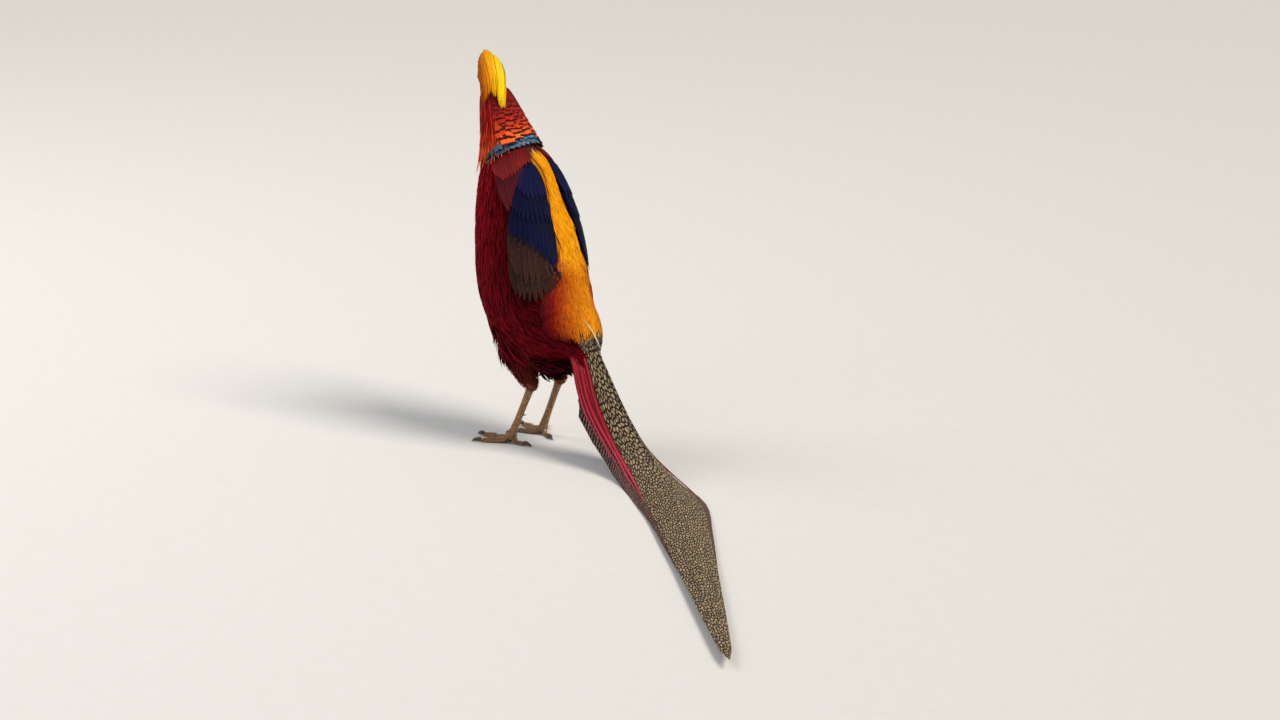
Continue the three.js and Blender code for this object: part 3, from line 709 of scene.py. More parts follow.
def tail_line():
    """The tail's middle line, which droops to the floor and swings aside."""
    s = np.arange(0, TAIL_LENGTH + TAIL_SPARE, TAIL_STEP)
    droop = TAIL_DROOP * np.maximum(0, 1 - s / TAIL_BEND)
    swing = TAIL_SWING * smooth(s, 0, TAIL_SWUNG_AT)
    ways = np.stack([-np.sin(swing) * np.cos(droop), -np.cos(swing) * np.cos(droop), -np.sin(droop)], axis=-1)
    points = TAIL_ROOT + np.concatenate([np.zeros((1, 3)), np.cumsum(ways * TAIL_STEP, axis=0)])
    points[:, 2] -= points[-1, 2]
    return points, ways


TAIL_POINTS, TAIL_WAYS = tail_line()


def tail_frame(s):
    """Places on that line, by how far they are from its root, with the ways along, sideways and up."""
    s = np.asarray(s, float)
    n = np.clip(s / TAIL_STEP, 0, len(TAIL_WAYS) - 1)
    i = np.minimum(np.floor(n).astype(int), len(TAIL_WAYS) - 2)
    f = (n - i)[..., None]
    along = unit(mix(TAIL_WAYS[i], TAIL_WAYS[i + 1], f))
    at = mix(TAIL_POINTS[i], TAIL_POINTS[i + 1], f) + along * np.minimum(s, 0)[..., None]
    side = unit(np.cross(along, [0, 0, 1.0]))
    return at, along, side, np.cross(side, along)


TAIL_CORE = [(-16, 15, 11), (0, 15, 10), (22, 13, 8), (40, 9, 6), (54, 4, 2)]
tail_core = Body([[*tail_frame(s)[0], wide, deep] for s, wide, deep in TAIL_CORE])


def tail_core_colour(t, turn):
    return ramp(np.abs(wrapped(turn)) / math.pi, (0.0, "#E08A10"), (0.3, "#D0500F"), (0.5, "#8A0A10"), (1.0, "#4A0810"))


# %% What is known at each place
def tree_of(spots):
    tree = kdtree.KDTree(len(spots))
    for n, spot in enumerate(spots):
        tree.insert(spot, n)
    tree.balance()
    return tree


def known_places():
    """Places on the bodies with their colour, lie and map place, to look up any point of the skin."""
    found = {"spot": [], "colour": [], "flow": [], "bake": [], "part": [], "t": [], "off": []}
    around = np.linspace(-math.pi, math.pi, 49)[:-1]
    parts = [(trunk, trunk_colour, -1), (head, head_colour, -1), (tail_core, tail_core_colour, 1)]
    parts += [(leg, thigh_colour, 1) for leg in thighs]
    for part, (shape, paint, way) in enumerate(parts):
        t, turn = (axis.ravel() for axis in np.meshgrid(np.linspace(0.01, 0.99, 60), around))
        found["spot"].append(shape.at(t, turn))
        found["colour"].append(paint(t, turn))
        found["flow"].append(way * unit(shape.centre(t + NUDGE) - shape.centre(t - NUDGE)))
        found["bake"].append(np.stack([(turn / (2 * math.pi)) % 1, t], axis=-1))
        found["part"].append(np.full(len(t), part))
        found["t"].append(t)
        found["off"].append(np.degrees(wrapped(turn - TWIST)))
    return {key: np.concatenate(values) for key, values in found.items()}


# %% Melt the balls into one skin
VOXEL, SMOOTHING_ROUNDS = 0.0018, 6


def skin_mesh():
    joined = bmesh.new()
    balls = [body_ball(trunk, 48, 64, SKIN_DEPTH), body_ball(head, 40, 32, -0.3), body_ball(tail_core, 24, 16, 1)]
    balls += [body_ball(leg, 32, 24, SKIN_DEPTH) for leg in thighs]
    balls += [body_ball(Body(BACK), 40, 56, SKIN_DEPTH), wing_ball(-1), wing_ball(1)]
    for ball in balls:
        absorb(joined, ball)
    piece = bpy.data.objects.new("bird_skin", placed_mesh("bird_skin", joined))
    bpy.context.scene.collection.objects.link(piece)
    remesh = piece.modifiers.new("Melt", "REMESH")
    remesh.mode = "VOXEL"
    remesh.voxel_size = VOXEL
    graph = bpy.context.evaluated_depsgraph_get()
    melted = bpy.data.meshes.new_from_object(piece.evaluated_get(graph))
    bpy.data.objects.remove(piece)
    bm = bmesh.new()
    bm.from_mesh(melted)
    for _ in range(SMOOTHING_ROUNDS):
        bmesh.ops.smooth_vert(bm, verts=bm.verts, factor=0.5, use_axis_x=True, use_axis_y=True, use_axis_z=True)
    bm.to_mesh(melted)
    bm.free()
    melted.shade_smooth()
    return melted


# %% The skin as feathers find it
# The middle of the body in the photograph, and how far it leans to the right per pixel down
BODY_MIDDLE, BODY_LEAN = (508, 150), 0.27
NEIGHBOURS, BLUR = 8, 2.5  # vertices that a point is set down between, and how far off, in millimetres, they count
TRIES = 7  # darts thrown for each place that one could take
# How far a line of sight that misses is moved inwards, in pixels: until it hits, and then once more
SEARCH, FIRMLY = np.arange(0, 16, 0.5), 1.5


class Surface:
    """Where the nearest point of the skin is, which way is out, and which way feathers lie there."""

    def __init__(self, mesh):
        self.spots = read(mesh.vertices, "co", 3, float) / MM - SHIFT
        self.normals = read(mesh.vertex_normals, "vector", 3, float)
        self.tree = tree_of(self.spots)
        known = known_places()
        known_tree = tree_of(known.pop("spot"))
        nearest = [known_tree.find(spot)[1] for spot in self.spots]
        self.known = {key: values[nearest] for key, values in known.items()}
        store(mesh, "root", self.known["colour"])
        mesh.calc_loop_triangles()
        self.corners = read(mesh.loop_triangles, "vertices", 3)
        self.bvh = BVHTree.FromPolygons(self.spots.tolist(), self.corners.tolist())

    def rest(self, points):
        """Points set down on the skin, smoothed over its nearest vertices, with the way out."""
        flat = points.reshape(-1, 3)
        found = [self.tree.find_n(point, NEIGHBOURS) for point in flat]
        near = np.array([[index for _, index, _ in each] for each in found])
        far = np.array([[distance for _, _, distance in each] for each in found])
        weight = np.exp(-((far / BLUR) ** 2)) + 1e-6
        weight = (weight / weight.sum(axis=1, keepdims=True))[..., None]
        normal = unit((self.normals[near] * weight).sum(axis=1))
        centre = (self.spots[near] * weight).sum(axis=1)
        onto = flat - normal * ((flat - centre) * normal).sum(axis=1, keepdims=True)
        return onto.reshape(points.shape), normal.reshape(points.shape), near[:, 0]

    def under_pixel(self, pixels):
        """Where lines of sight meet the skin. One that just passes the outline is moved inwards until it hits."""
        start = Vector((eye_point / MM) - Vector(SHIFT))
        spots = []
        for x, y in pixels:
            inwards = 1.0 if x < BODY_MIDDLE[0] + (y - BODY_MIDDLE[1]) * BODY_LEAN else -1.0
            for moved in SEARCH:
                if self.bvh.ray_cast(start, ray((x + inwards * moved, y)))[0]:
                    break
            if moved:
                moved += FIRMLY
            spots.append(self.bvh.ray_cast(start, ray((x + inwards * moved, y)))[0])
        return np.array(spots)

    def scatter(self, spacing, seed, keep):
        """Even random roots: darts thrown at the skin, kept where no other is nearer than the spacing."""
        rng = np.random.default_rng(seed)
        a, b, c = (self.spots[self.corners[:, k]] for k in range(3))
        area = np.linalg.norm(np.cross(b - a, c - a), axis=1) / 2
        count = int(area.sum() / spacing**2 * TRIES)
        chosen = rng.choice(len(area), count, p=area / area.sum())
        u, v = np.sqrt(rng.random((count, 1))), rng.random((count, 1))
        points = a[chosen] * (1 - u) + b[chosen] * (u * (1 - v)) + c[chosen] * (u * v)
        nearest = self.corners[chosen, 0]
        kept = keep(points, nearest)
        return darts(points[kept], nearest[kept], spacing)


# %% One skin
def skin_looks(tree):
    down, root = grain(tree, 900.0), painted(tree, "root")
    dark = blend(tree, 1.0, root, rgba("#7A6A64"), "MULTIPLY")
    bump = add(tree, "Bump", {"Strength": 0.7, "Distance": 0.0006, "Height": down})
    return {"Base Color": blend(tree, down, dark, root), "Roughness": 0.85, "Specular IOR Level": 0.03, "Normal": bump}


skin = bpy.data.objects.new("bird_skin", skin_mesh())
surface = Surface(skin.data)
skin.data.materials.clear()
skin.data.materials.append(new_material("Down over skin", skin_looks))
finish_piece(skin, ("torso", "head", "neck", "thigh_left", "thigh_right"))

# %% [markdown]
# ## Lines on the coat
# Where one colour of the plumage meets the next is read off the photograph as a few pixels along each border.
# The line of sight through each pixel is followed until it meets the skin, so the border lies on the bird and
# not on the picture. The side that is turned away is the mirror image of the near one.


# %% Patches between two borders
def border(*pixels):
    return surface.under_pixel(pixels)


# The back's middle line lies a little to the bird's right, as its shoulders are turned
MIRROR_TURN = math.radians(15)
MIRROR_AT = trunk.centre(np.array(0.5))
MIRROR_NORMAL = unit(np.cross(trunk.at(0.5, MIRROR_TURN) - MIRROR_AT, trunk.centre(np.array(0.6)) - MIRROR_AT))


def mirrored(points):
    return points - 2 * ((points - MIRROR_AT) @ MIRROR_NORMAL)[..., None] * MIRROR_NORMAL


class Patch:
    """A part of the coat with a few lines running down it, and its places as shares across and down."""

    def __init__(self, *lines, mirror=0):
        lines = [border(*line) for line in lines]
        self.lines = np.array(lines + [mirrored(line) for line in lines[::-1][len(lines) - mirror :]])

    def at(self, across, down):
        across, down = np.broadcast_arrays(np.asarray(across, float), np.asarray(down, float))
        place = across * (len(self.lines) - 1)
        first = np.clip(np.floor(place).astype(int), 0, len(self.lines) - 2)
        lines = np.stack([spline(line, down) for line in self.lines])
        here = np.take_along_axis(lines, first[None, ..., None], axis=0)[0]
        beside = np.take_along_axis(lines, first[None, ..., None] + 1, axis=0)[0]
        return mix(here, beside, (place - first)[..., None])

    def paths(self, across, down, reach, shares):
        """Paths for blades that start at places in the patch and run down it for a share of its length."""
        shares = np.array(shares)[None]
        return self.at(across[:, None] + 0 * shares, down[:, None] + reach[:, None] * shares)


def evenly(line, count):
    """Points at even shares of a line's length."""
    far = np.concatenate([[0], np.cumsum(np.linalg.norm(np.diff(line, axis=0), axis=1))])
    places = np.linspace(0, far[-1], count)
    return np.stack([np.interp(places, far, line[:, k]) for k in range(3)], axis=-1)


def tier_paths(starts, ends, count, side):
    """Straight paths from one line in the photograph to another, or their mirror images on the right."""
    start, end = evenly(border(*starts), count), evenly(border(*ends), count)
    paths = mix(start[:, None], end[:, None], np.array(ROUND_STEPS)[None, :, None])
    return mirrored(paths) if side == "right" else paths


def strands(patch, count, seed, reach, half, lifts, paint, spread, sink=0.0):
    """Narrow blades scattered over a patch, each running down it with a little stray."""
    rng = np.random.default_rng(seed)
    across, length = rng.uniform(0, 1, count), rng.uniform(*reach, count)
    down = mix(-0.03, 1.03 - length, rng.random(count))
    paths = patch.paths(across, down, length, POINT_STEPS)
    stray = patch.at(across + rng.normal(0, spread, count), down + length) - patch.at(across, down + length)
    paths = paths + stray[:, None] * np.array(POINT_STEPS)[None, :, None] ** 2
    high = lifts[1] * (1 - sink * smooth(across, 0.42, 0.55) * (1 - smooth(across, 0.66, 0.8)))
    layer = lay_along(paths, rng.uniform(*half, count), (lifts[0], high), rng.normal(0, 0.15, count), pointed,
                      POINT_STEPS, 3, 0.3, 0.25)
    return layer, paint(across, down), paint(across, down + length)


stripe = Patch(
    [(527, 147), (535, 160), (543, 173), (547, 188), (550, 203), (551, 218), (555, 233), (560, 250), (562, 268)],
    [(539, 147), (545, 160), (551, 173), (556, 188), (561, 203), (568, 218), (574, 233), (578, 250), (584, 268)],
)
rump = Patch(
    [(561, 250), (556, 268), (549, 286), (544, 304), (543, 322), (547, 336)],
    [(571, 250), (572, 268), (571, 286), (570, 304), (572, 322), (577, 342)],
    [(580, 250), (584, 268), (587, 286), (589, 304), (592, 322), (594, 336)],
    mirror=2,
)
tail_top = Patch(
    [(574, 322), (577, 333), (581, 344), (585, 354)],
    [(584, 320), (588, 332), (592, 343), (596, 354)],
    [(594, 318), (598, 331), (601, 343), (604, 354)],
    mirror=2,
)
near_wing = Patch(
    [(498, 160), (502, 180), (506, 205), (509, 230), (510, 255), (512, 280), (520, 298)],
    [(530, 154), (541, 175), (547, 205), (552, 230), (558, 255), (562, 275), (553, 293)],
)
print("golden stripe", np.linalg.norm(stripe.at(0.5, 0.0) - stripe.at(0.5, 1.0)).round(), "mm long")

# %% [markdown]
# ## Body feathers
# Breast, belly and flanks are crimson. Their feathers are soft and loose at the edge, so they are short narrow
# blades, several deep. Low on the belly they are painted darker, to maroon, as painted shade under the body, and
# there and on the thighs they stand off more.

# %% Breast, belly and flanks
BODY_SPACING, VENT_SPACING, THIGH_SPACING = 3.1, 2.8, 2.6
FLUFF_AT, FLUFF_SIZE = np.array([30, 12, 108]), np.array([30, 45, 40])
VENT_AT, VENT_SIZE = np.array([0, -40, 90]), np.array([32, 30, 20])
STREAK_SIZE = 9.0
crimson = feather_material("Soft crimson feather", None, 0.75, 0.03, "#8A0A1A", 0.25, barb=0.6)


def clear_of(patches, distance):
    """A test for roots that stay off the parts that other feathers cover."""
    grid = np.meshgrid(np.linspace(0.04, 0.96, 27), np.linspace(0.0, 1.0, 40))
    spots = np.concatenate([patch.at(grid[0].ravel(), grid[1].ravel()) for patch in patches])
    tree = tree_of(np.concatenate([spots, mirrored(spots)]))
    return lambda points: np.array([tree.find(point)[2] > distance for point in points])


clear = clear_of([stripe, rump, near_wing, tail_top], 4.0)


def streaked(points, seed):
    """Soft light and dark patches in the coat, as wide as a few feathers."""
    shift = Vector((seed, 0, 0))
    return np.array([noise.noise(Vector(point) / STREAK_SIZE + shift) for point in points])[:, None]


def fluff(points):
    """Where the belly's feathers stand off most: low on the flanks, before the thighs."""
    off = np.linalg.norm((np.abs(points * [1, 0, 0]) + points * [0, 1, 1] - FLUFF_AT) / FLUFF_SIZE, axis=1)
    return 1 - smooth(off, 0.2, 1.0)


def coat(name, points, near, base, shades, seed, lengths, halves, lifts, strays, longer=0.0, small=1.0):
    """A piece of soft feathers on the skin. They are longer, or smaller, where asked."""
    drawn = lambda low, high: mix(low, high, rng.random(len(points)))
    length, half = (drawn(*lengths) + longer) * small, drawn(*halves) * mix(1, small, 0.6)
    low, high = lifts
    lifts = low, drawn(*high) if isinstance(high, tuple) else high
    heading, roll = (rng.normal(0, stray, len(points)) for stray in strays)
    layer = lay_on_skin(points, near, length, half, lifts, heading, roll)
    feather_piece(name, [tract(layer, crimson, base * shades[0], base * shades[1], seed)])


rng = np.random.default_rng(7)
known = surface.known
roots, labels = surface.scatter(BODY_SPACING, 11, lambda points, near: (known["part"][near] == 0)
                                & (known["t"][near] < 0.97) & clear(points))
for side, sign in SIDES.items():
    chosen = np.sign(known["off"][labels]) == sign
    points, near = roots[chosen], labels[chosen]
    base, fluffed = known["colour"][near] * (1 + 0.5 * streaked(points, 3)), fluff(points)
    small = mix(1, 0.45, smooth(known["t"][near], 0.7, 0.88))
    coat(f"body_feathers_{side}", points, near, base, (0.8, 1.2), 12, (14, 21), (1.5, 2.6),
         (-1.4, 1.7 * small + 6 * fluffed), (0.13, 0.15), 5 * fluffed, small)

points, near = surface.scatter(VENT_SPACING, 15, lambda points, near: (known["part"][near] == 0)
                               & (np.linalg.norm((points - VENT_AT) / VENT_SIZE, axis=1) < 1))
# Painted shade: the vent feathers are painted dark maroon, for the shade under the body.
base = linear("#4A0810") * (1 + 0.5 * streaked(points, 9))
coat("vent_feathers", points, near, base, (0.7, 1.1), 16, (16, 26), (1.4, 2.2), (-1.2, (5.0, 13.0)), (0.25, 0.2))

points, near = surface.scatter(THIGH_SPACING, 13, lambda points, near: known["part"][near] >= 3)
base = known["colour"][near] * (1 + 0.4 * streaked(points, 5))
fluffed = np.maximum(fluff(points), smooth(known["t"][near], 0.35, 0.7) * 0.6)
coat("thigh_feathers", points, near, base, (0.85, 1.15), 14, (9, 14), (1.1, 1.7), (-1.2, 1.0 + 5 * fluffed),
     (0.12, 0.1))

# %% [markdown]
# ## Cape
# The cape hangs round the back and sides of the neck. Each feather is broad, orange and cut off square, with
# two very dark bars near its end, and the tiers line up into dark rows. Farther round, where the feathers are
# seen from the side, narrow ones without bars break the rows up into streaks.

# %% Cape feathers
CAPE_REACH, CAPE_SPLAY = math.radians(150), math.radians(14)
CAPE_BARRED, CAPE_MIXED = math.radians(52), math.radians(9)  # where bars end, and how raggedly
CAPE_TIERS, CAPE_LOW, CAPE_HIGH = 8, 0.764, 0.895


def cape_bars(tree, colour, maps):
    along = calc(tree, "MULTIPLY_ADD", maps["noise"], 0.08, maps["along"])
    upper_end = calc(tree, "SUBTRACT", 1.0, step(tree, along, 0.79, 0.84))
    upper = calc(tree, "MULTIPLY", step(tree, along, 0.70, 0.75), upper_end)
    bars = calc(tree, "MAXIMUM", upper, step(tree, along, 0.95, 0.99))
    return blend(tree, bars, colour, rgba("#3A0C14"))


cape_orange = feather_material("Barred cape feather", cape_bars, 0.6, 0.08, "#E8602A", 0.12)
cape_streak = feather_material("Streaked cape feather", None, 0.6, 0.06)
cape_tracts = []
for n in range(CAPE_TIERS):
    share = n / (CAPE_TIERS - 1)
    for barred in (True, False):
        count = int(mix(38, 27, share)) * (1 if barred else 2)
        turn = CAPE_REACH * (np.linspace(-1, 1, count) * (0.97 if n % 2 else 1.0) + rng.normal(0, 0.008, count))
        turn = turn[(np.abs(turn - TWIST) < CAPE_BARRED + rng.normal(0, CAPE_MIXED, count)) == barred]
        count = len(turn)
        t = np.full(count, mix(CAPE_LOW, CAPE_HIGH, share)) + rng.normal(0, 0.003, count)
        length = mix(37, 24, share) * (1 + rng.normal(0, 0.05, count))
        length = length * mix(1, mix(0.74, 1.08, smooth(np.abs(turn - TWIST), 0.1, 1.5)), 1 - share)
        splay = turn / CAPE_REACH * CAPE_SPLAY
        colour = ramp(np.full(count, share), (0.0, "#F0682A"), (0.25, "#D8430F"), (0.55, "#B0240E"), (1.0, "#7E100C"))
        if barred:
            colour = colour * (1 + rng.normal(0, 0.15, count))[:, None]
            layer = lay(trunk, t, turn, length, mix(5.4, 3.8, share), (-1.6, mix(4.6, 3.8, share)), splay,
                        rng.normal(0, 0.08, count), squared, cols=5)
            cape_tracts.append(tract(layer, cape_orange, colour * 0.75, colour * 1.1, 20 + n))
        else:
            colour = mix(colour, linear("#A01810"), 0.5) * np.where(rng.random(count) < 0.42, 1.8, 0.6)[:, None]
            layer = lay(trunk, t, turn, length * 1.15, mix(2.6, 1.9, share), (-1.6, mix(2.6, 2.4, share)), splay,
                        rng.normal(0, 0.1, count), pointed, POINT_STEPS)
            cape_tracts.append(tract(layer, cape_streak, colour * 0.6, colour * 1.15, 20 + n))
feather_piece("cape_feathers", cape_tracts)

# %% [markdown]
# ## Mantle
# Below the cape lies a short shawl of round, glossy blue-green feathers, each with a velvet black border.


# %% Mantle feathers
def black_border(tree, colour, maps):
    edge = calc(tree, "MAXIMUM", step(tree, maps["across"], 0.7, 0.95), step(tree, maps["along"], 0.9, 0.97))
    return blend(tree, edge, colour, rgba("#071012"))


mantle_green = feather_material("Iridescent mantle feather", black_border, 0.4, 0.4, "#0E2A2A")
MANTLE_COUNT = 12
MANTLE_TIERS = (
    ([(488, 160), (498, 148), (512, 136), (530, 130)],
     [(494, 162), (503, 156), (516, 151), (530, 147), (542, 143)], 5.4),
    ([(488, 156), (498, 142), (512, 128), (528, 122)],
     [(493, 158), (503, 152), (516, 146), (530, 142), (539, 139)], 6.2),
)
# Painted shade and light: each row's first feathers, tucked under the cape, are painted dark navy as the cape's shadow,
# and the row is painted lighter blue along its length.
colour = ramp(np.linspace(0, 1, MANTLE_COUNT), (0, "#16222E"), (0.3, "#2A5470"), (1, "#5A88A8"))
mantle_tracts = []
for n, (starts, ends, lift) in enumerate(MANTLE_TIERS):
    for side in SIDES:
        layer = lay_along(tier_paths(starts, ends, MANTLE_COUNT, side), 4.2, (1.0, lift))
        mantle_tracts.append(tract(layer, mantle_green, colour * 0.8, colour * 1.1, 40 + n))
feather_piece("mantle_feathers", mantle_tracts)

# %% [markdown]
# ## Golden back and rump
# From the mantle down to the tail runs a stripe of long golden feathers that break up at the ends into loose
# silky strands. Narrow blades, laid close in many short tiers, give that hair-like look.

# %% Golden strands
gold = feather_material("Silky golden feather", None, 0.5, 0.06, barb=0.6)


def stripe_colour(across, down):
    return ramp(across, (0.0, "#F2980C"), (0.3, "#F9AA0C"), (1.0, "#F7A70C"))


def rump_colour(across, down):
    off = np.abs(2 * across - 1)
    top = ramp(off, (0.0, "#F8A60C"), (0.5, "#F29A0C"), (0.85, "#DE7A0C"), (1.0, "#B04A0C"))
    low = ramp(off, (0.0, "#F29E12"), (0.2, "#E28C10"), (0.4, "#D4760C"), (0.55, "#C25A0C"), (0.7, "#A8360E"),
               (0.84, "#860E10"), (1.0, "#4E0610"))
    return mix(top, low, smooth(down, 0.1, 0.42)[:, None])


layer, root, tip = strands(stripe, 1000, 51, (0.16, 0.26), (0.8, 1.4), (-1.2, 2.6), stripe_colour, 0.03)
gold_tracts = [tract(layer, gold, root * 0.9, tip * 1.08, 50)]
layer, root, tip = strands(rump, 2400, 52, (0.24, 0.4), (0.7, 1.3), (-1.0, 2.6), rump_colour, 0.02, sink=0.15)
gold_tracts.append(tract(layer, gold, root * 0.9, tip * 1.08, 53))
# Painted highlight: one pale cream blade where the tail begins, for the light caught on the edge of the tail
painted_highlight_blade = evenly(border((583, 320), (589, 331), (595, 342), (600, 352)), len(POINT_STEPS))[None]
layer = lay_along(painted_highlight_blade, 0.9, (2.0, 5.5), 0.0, pointed, POINT_STEPS, 3, 0.3, 0.3)
gold_tracts.append(tract(layer, gold, linear("#E0C898"), linear("#F0E6CC"), 54))
feather_piece("golden_back_feathers", gold_tracts)


# %% [markdown]
# ## Wings
# A folded wing shows its feathers in tiers that slide under one another: scapulars over coverts, coverts over
# the dark blue tertials and the brown secondaries, and below them the tips of the primaries.


# %% Wing materials
def brown_mottle(tree, colour, maps):
    spots = add(tree, "TexNoise", {"Vector": maps["place"], "Scale": 0.9, "Detail": 2.0})
    rim = calc(tree, "MULTIPLY", step(tree, spots, 0.52, 0.62), step(tree, maps["across"], 0.2, 0.9))
    return blend(tree, calc(tree, "MULTIPLY", rim, 0.35), colour, rgba("#7A4A2A"))


navy = feather_material("Glossy blue-black tertial", None, 0.5, 0.05, "#0B0E22")
brown = feather_material("Brown flight feather", brown_mottle, 0.6, 0.05, "#2A1810")
dull_red = feather_material("Dull red scapular", None, 0.65, 0.06, "#4A1410")

# %% Wing feathers
# Each tier, from the lowest: the lines in the photograph that its feathers start and end on, how many there are,
# how wide and how high they lie, and their material and colours
WING_TIERS = {
    "primaries": ([(514, 236), (530, 236), (549, 240)],
                  [(513, 284), (517, 294), (524, 300), (534, 302), (544, 299), (553, 291), (559, 279)],
                  13, 4.2, (1.6, 2.8), brown, ("#2A1A18", "#33211C")),
    "secondaries": ([(513, 214), (530, 212), (545, 216)],
                    [(512, 262), (518, 276), (527, 284), (538, 284), (548, 280), (556, 270)],
                    12, 4.2, (2.0, 3.6), brown, ("#2A1B1A", "#3A2420")),
    "tertials": ([(521, 190), (530, 184), (541, 190)],
                 [(512, 234), (519, 241), (529, 247), (538, 254), (549, 266), (557, 275)],
                 11, 4.0, (2.4, 4.4), navy, ("#080C24", "#0B1236")),
    "tertial coverts": ([(523, 178), (529, 171), (537, 178)],
                        [(515, 210), (521, 219), (529, 223), (539, 224), (548, 224)],
                        10, 3.8, (2.8, 5.0), navy, ("#090C28", "#0C1034")),
    "shoulder": ([(525, 168), (529, 163), (533, 167)],
                 [(519, 191), (525, 199), (534, 202), (544, 199)],
                 9, 3.2, (3.2, 5.6), navy, ("#101238", "#14163E")),
    "low scapulars": ([(499, 166), (508, 162), (518, 160)],
                      [(504, 202), (510, 213), (516, 203), (522, 184)],
                      10, 3.4, (1.6, 3.8), dull_red, ("#48101A", "#5A1822")),
    "scapulars": ([(493, 158), (505, 152), (516, 148), (526, 147)],
                  [(498, 176), (505, 182), (514, 177), (520, 170), (526, 164)],
                  13, 3.0, (1.2, 3.6), dull_red, ("#681618", "#7A2020")),
}
WING_ROLL = math.radians(7)
for side, sign in SIDES.items():
    tracts = []
    for n, (starts, ends, count, half, lifts, finish, colours) in enumerate(WING_TIERS.values()):
        layer = lay_along(tier_paths(starts, ends, count, side), half, lifts, sign * WING_ROLL)
        tracts.append(tract(layer, finish, *map(linear, colours), 60 + n))
    feather_piece(f"wing_feathers_{side}", tracts, [f"wing_{side}"])

# %% [markdown]
# ## Tail
# The tail is a low roof of paired vanes. The two long middle feathers are brown-black, scattered with buff
# spots, and the others are barred on a slant. Each vane hangs from the one above it, about a millimetre lower.

# %% Tail vanes
TAIL_PAIRS = (700, 610, 520, 430, 350, 280, 220, 170, 130)
TAIL_PITCH = 0.9
TAIL_STARTS = (-24, -12)  # of the middle pair and of the others
TAIL_HALF_WIDTHS = (27, 34, 39, 42, 45, 47, 49, 49, 47)
TAIL_VAULT = math.radians(55)
TAIL_ROWS, TAIL_COLS = 34, 5


def tail_slope(s):
    """The roof of the tail is steep at its root and flattens towards the floor."""
    return mix(TAIL_VAULT, TAIL_SLOPE, smooth(s, 90, 240))


def on_tail(s, sign, wide, lift):
    """Places on one slope of the tail, with the ways across and out of it."""
    at, along, side, up = tail_frame(s)
    slope = tail_slope(s)[:, None]
    across = side * sign * np.cos(slope) - up * np.sin(slope)
    out = up * np.cos(slope) + side * sign * np.sin(slope)
    return at + up * tail_ridge(0, s)[:, None] + across * wide[:, None] + out * lift[:, None], across * sign, out


def tail_ridge(pair, s):
    """How high the ridge of a pair of vanes lies over the tail's line, on the pairs below it."""
    stack = sum(1 - smooth(s, length - 5, length + 80) for length in TAIL_PAIRS[pair + 1 :])
    base = mix(2, 12.8, smooth(s, -26, 14))
    return mix(base, TAIL_RIDGE, smooth(s, 20, 110)) + TAIL_PITCH * stack


def tail_outer(pair, s):
    """How far down the slope the outer edge of a vane lies."""
    taper = 1 - 0.86 * np.clip((s / TAIL_PAIRS[pair] - 0.3) / 0.7, 0, 1) ** 1.35
    return mix(4 if pair else 12, TAIL_HALF_WIDTHS[pair], smooth(s, -24, 58 if pair else 45)) * taper


def tail_depth(s, beside):
    """How far below the top vane lies the highest one that reaches a place beside the ridge, evened out."""
    depth = np.clip(0.2 * (beside - 30), 0, 4)
    for pair in reversed(range(len(TAIL_PAIRS))):
        depth = np.where(tail_outer(pair, s) > beside, tail_ridge(0, s) - tail_ridge(pair, s), depth)
    padded = np.pad(depth, 2, mode="edge")
    return np.mean([padded[n : n + len(s)] for n in range(5)], axis=0)


def lone_blade(centre, side, up, half, shares, camber, length, bake_at):
    made = blades(centre[None], side[None], up[None], half[None], shares, TAIL_COLS, camber, 0.5)
    return {**made, "length": np.array([length]), "bake": np.array([[bake_at, 0.5]])}


def tail_vane(pair, sign):
    length = TAIL_PAIRS[pair]
    rows = max(10, int(TAIL_ROWS * length / TAIL_PAIRS[0]))
    shares = 1 - (1 - np.linspace(0, 1, rows)) ** 1.25
    s = mix(TAIL_STARTS[min(pair, 1)], length, shares)
    outer = tail_outer(pair, s) * np.sqrt(np.clip(1.02 - smooth(shares, 0.955, 1.0), 0.05, 1))
    below = tail_ridge(0, s) - tail_ridge(pair, s)
    inner = np.minimum(below * np.tan(tail_slope(s)) + 0.5 * (pair > 0), outer - 1)
    centre, vane_side, vane_up = on_tail(s, sign, (inner + outer) / 2, -below)
    bake_at = 0.5 + sign * (0.06 + 0.04 * pair)
    return lone_blade(centre, vane_side, vane_up, (outer - inner) / 2, shares, 0.08, length, bake_at)


def buff_spots(tree, colour, maps):
    """Cream grains, about 2.5 by 7 mm, in a dark net that slants like the barbs."""
    drawn_out = add(tree, "VectorMath", [maps["place"], (1.0, 0.34, 0.0)], operation="MULTIPLY")
    slant = add(tree, "CombineXYZ", {1: calc(tree, "MULTIPLY", maps["side"], -0.45)})
    slanted = add(tree, "VectorMath", [drawn_out, slant], operation="ADD")
    cell = add(tree, "TexVoronoi", {"Vector": slanted, "Scale": 0.42, "Randomness": 1.0},
               feature="DISTANCE_TO_EDGE", voronoi_dimensions="2D")
    soft = calc(tree, "MULTIPLY_ADD", maps["noise"], 0.1, cell)
    cream = blend(tree, maps["noise"], rgba("#86704F"), rgba("#C2A880"))
    return blend(tree, step(tree, soft, 0.18, 0.34), colour, cream)


def slant_bars(tree, colour, maps):
    slant = calc(tree, "MULTIPLY_ADD", maps["side"], -1.2, maps["far"])
    slant = calc(tree, "MULTIPLY_ADD", maps["noise"], 5.0, slant)
    wave = calc(tree, "SINE", calc(tree, "MULTIPLY", slant, 2 * math.pi / 4.5))
    return blend(tree, step(tree, wave, 0.2, 0.7), colour, rgba("#8A6A58"))


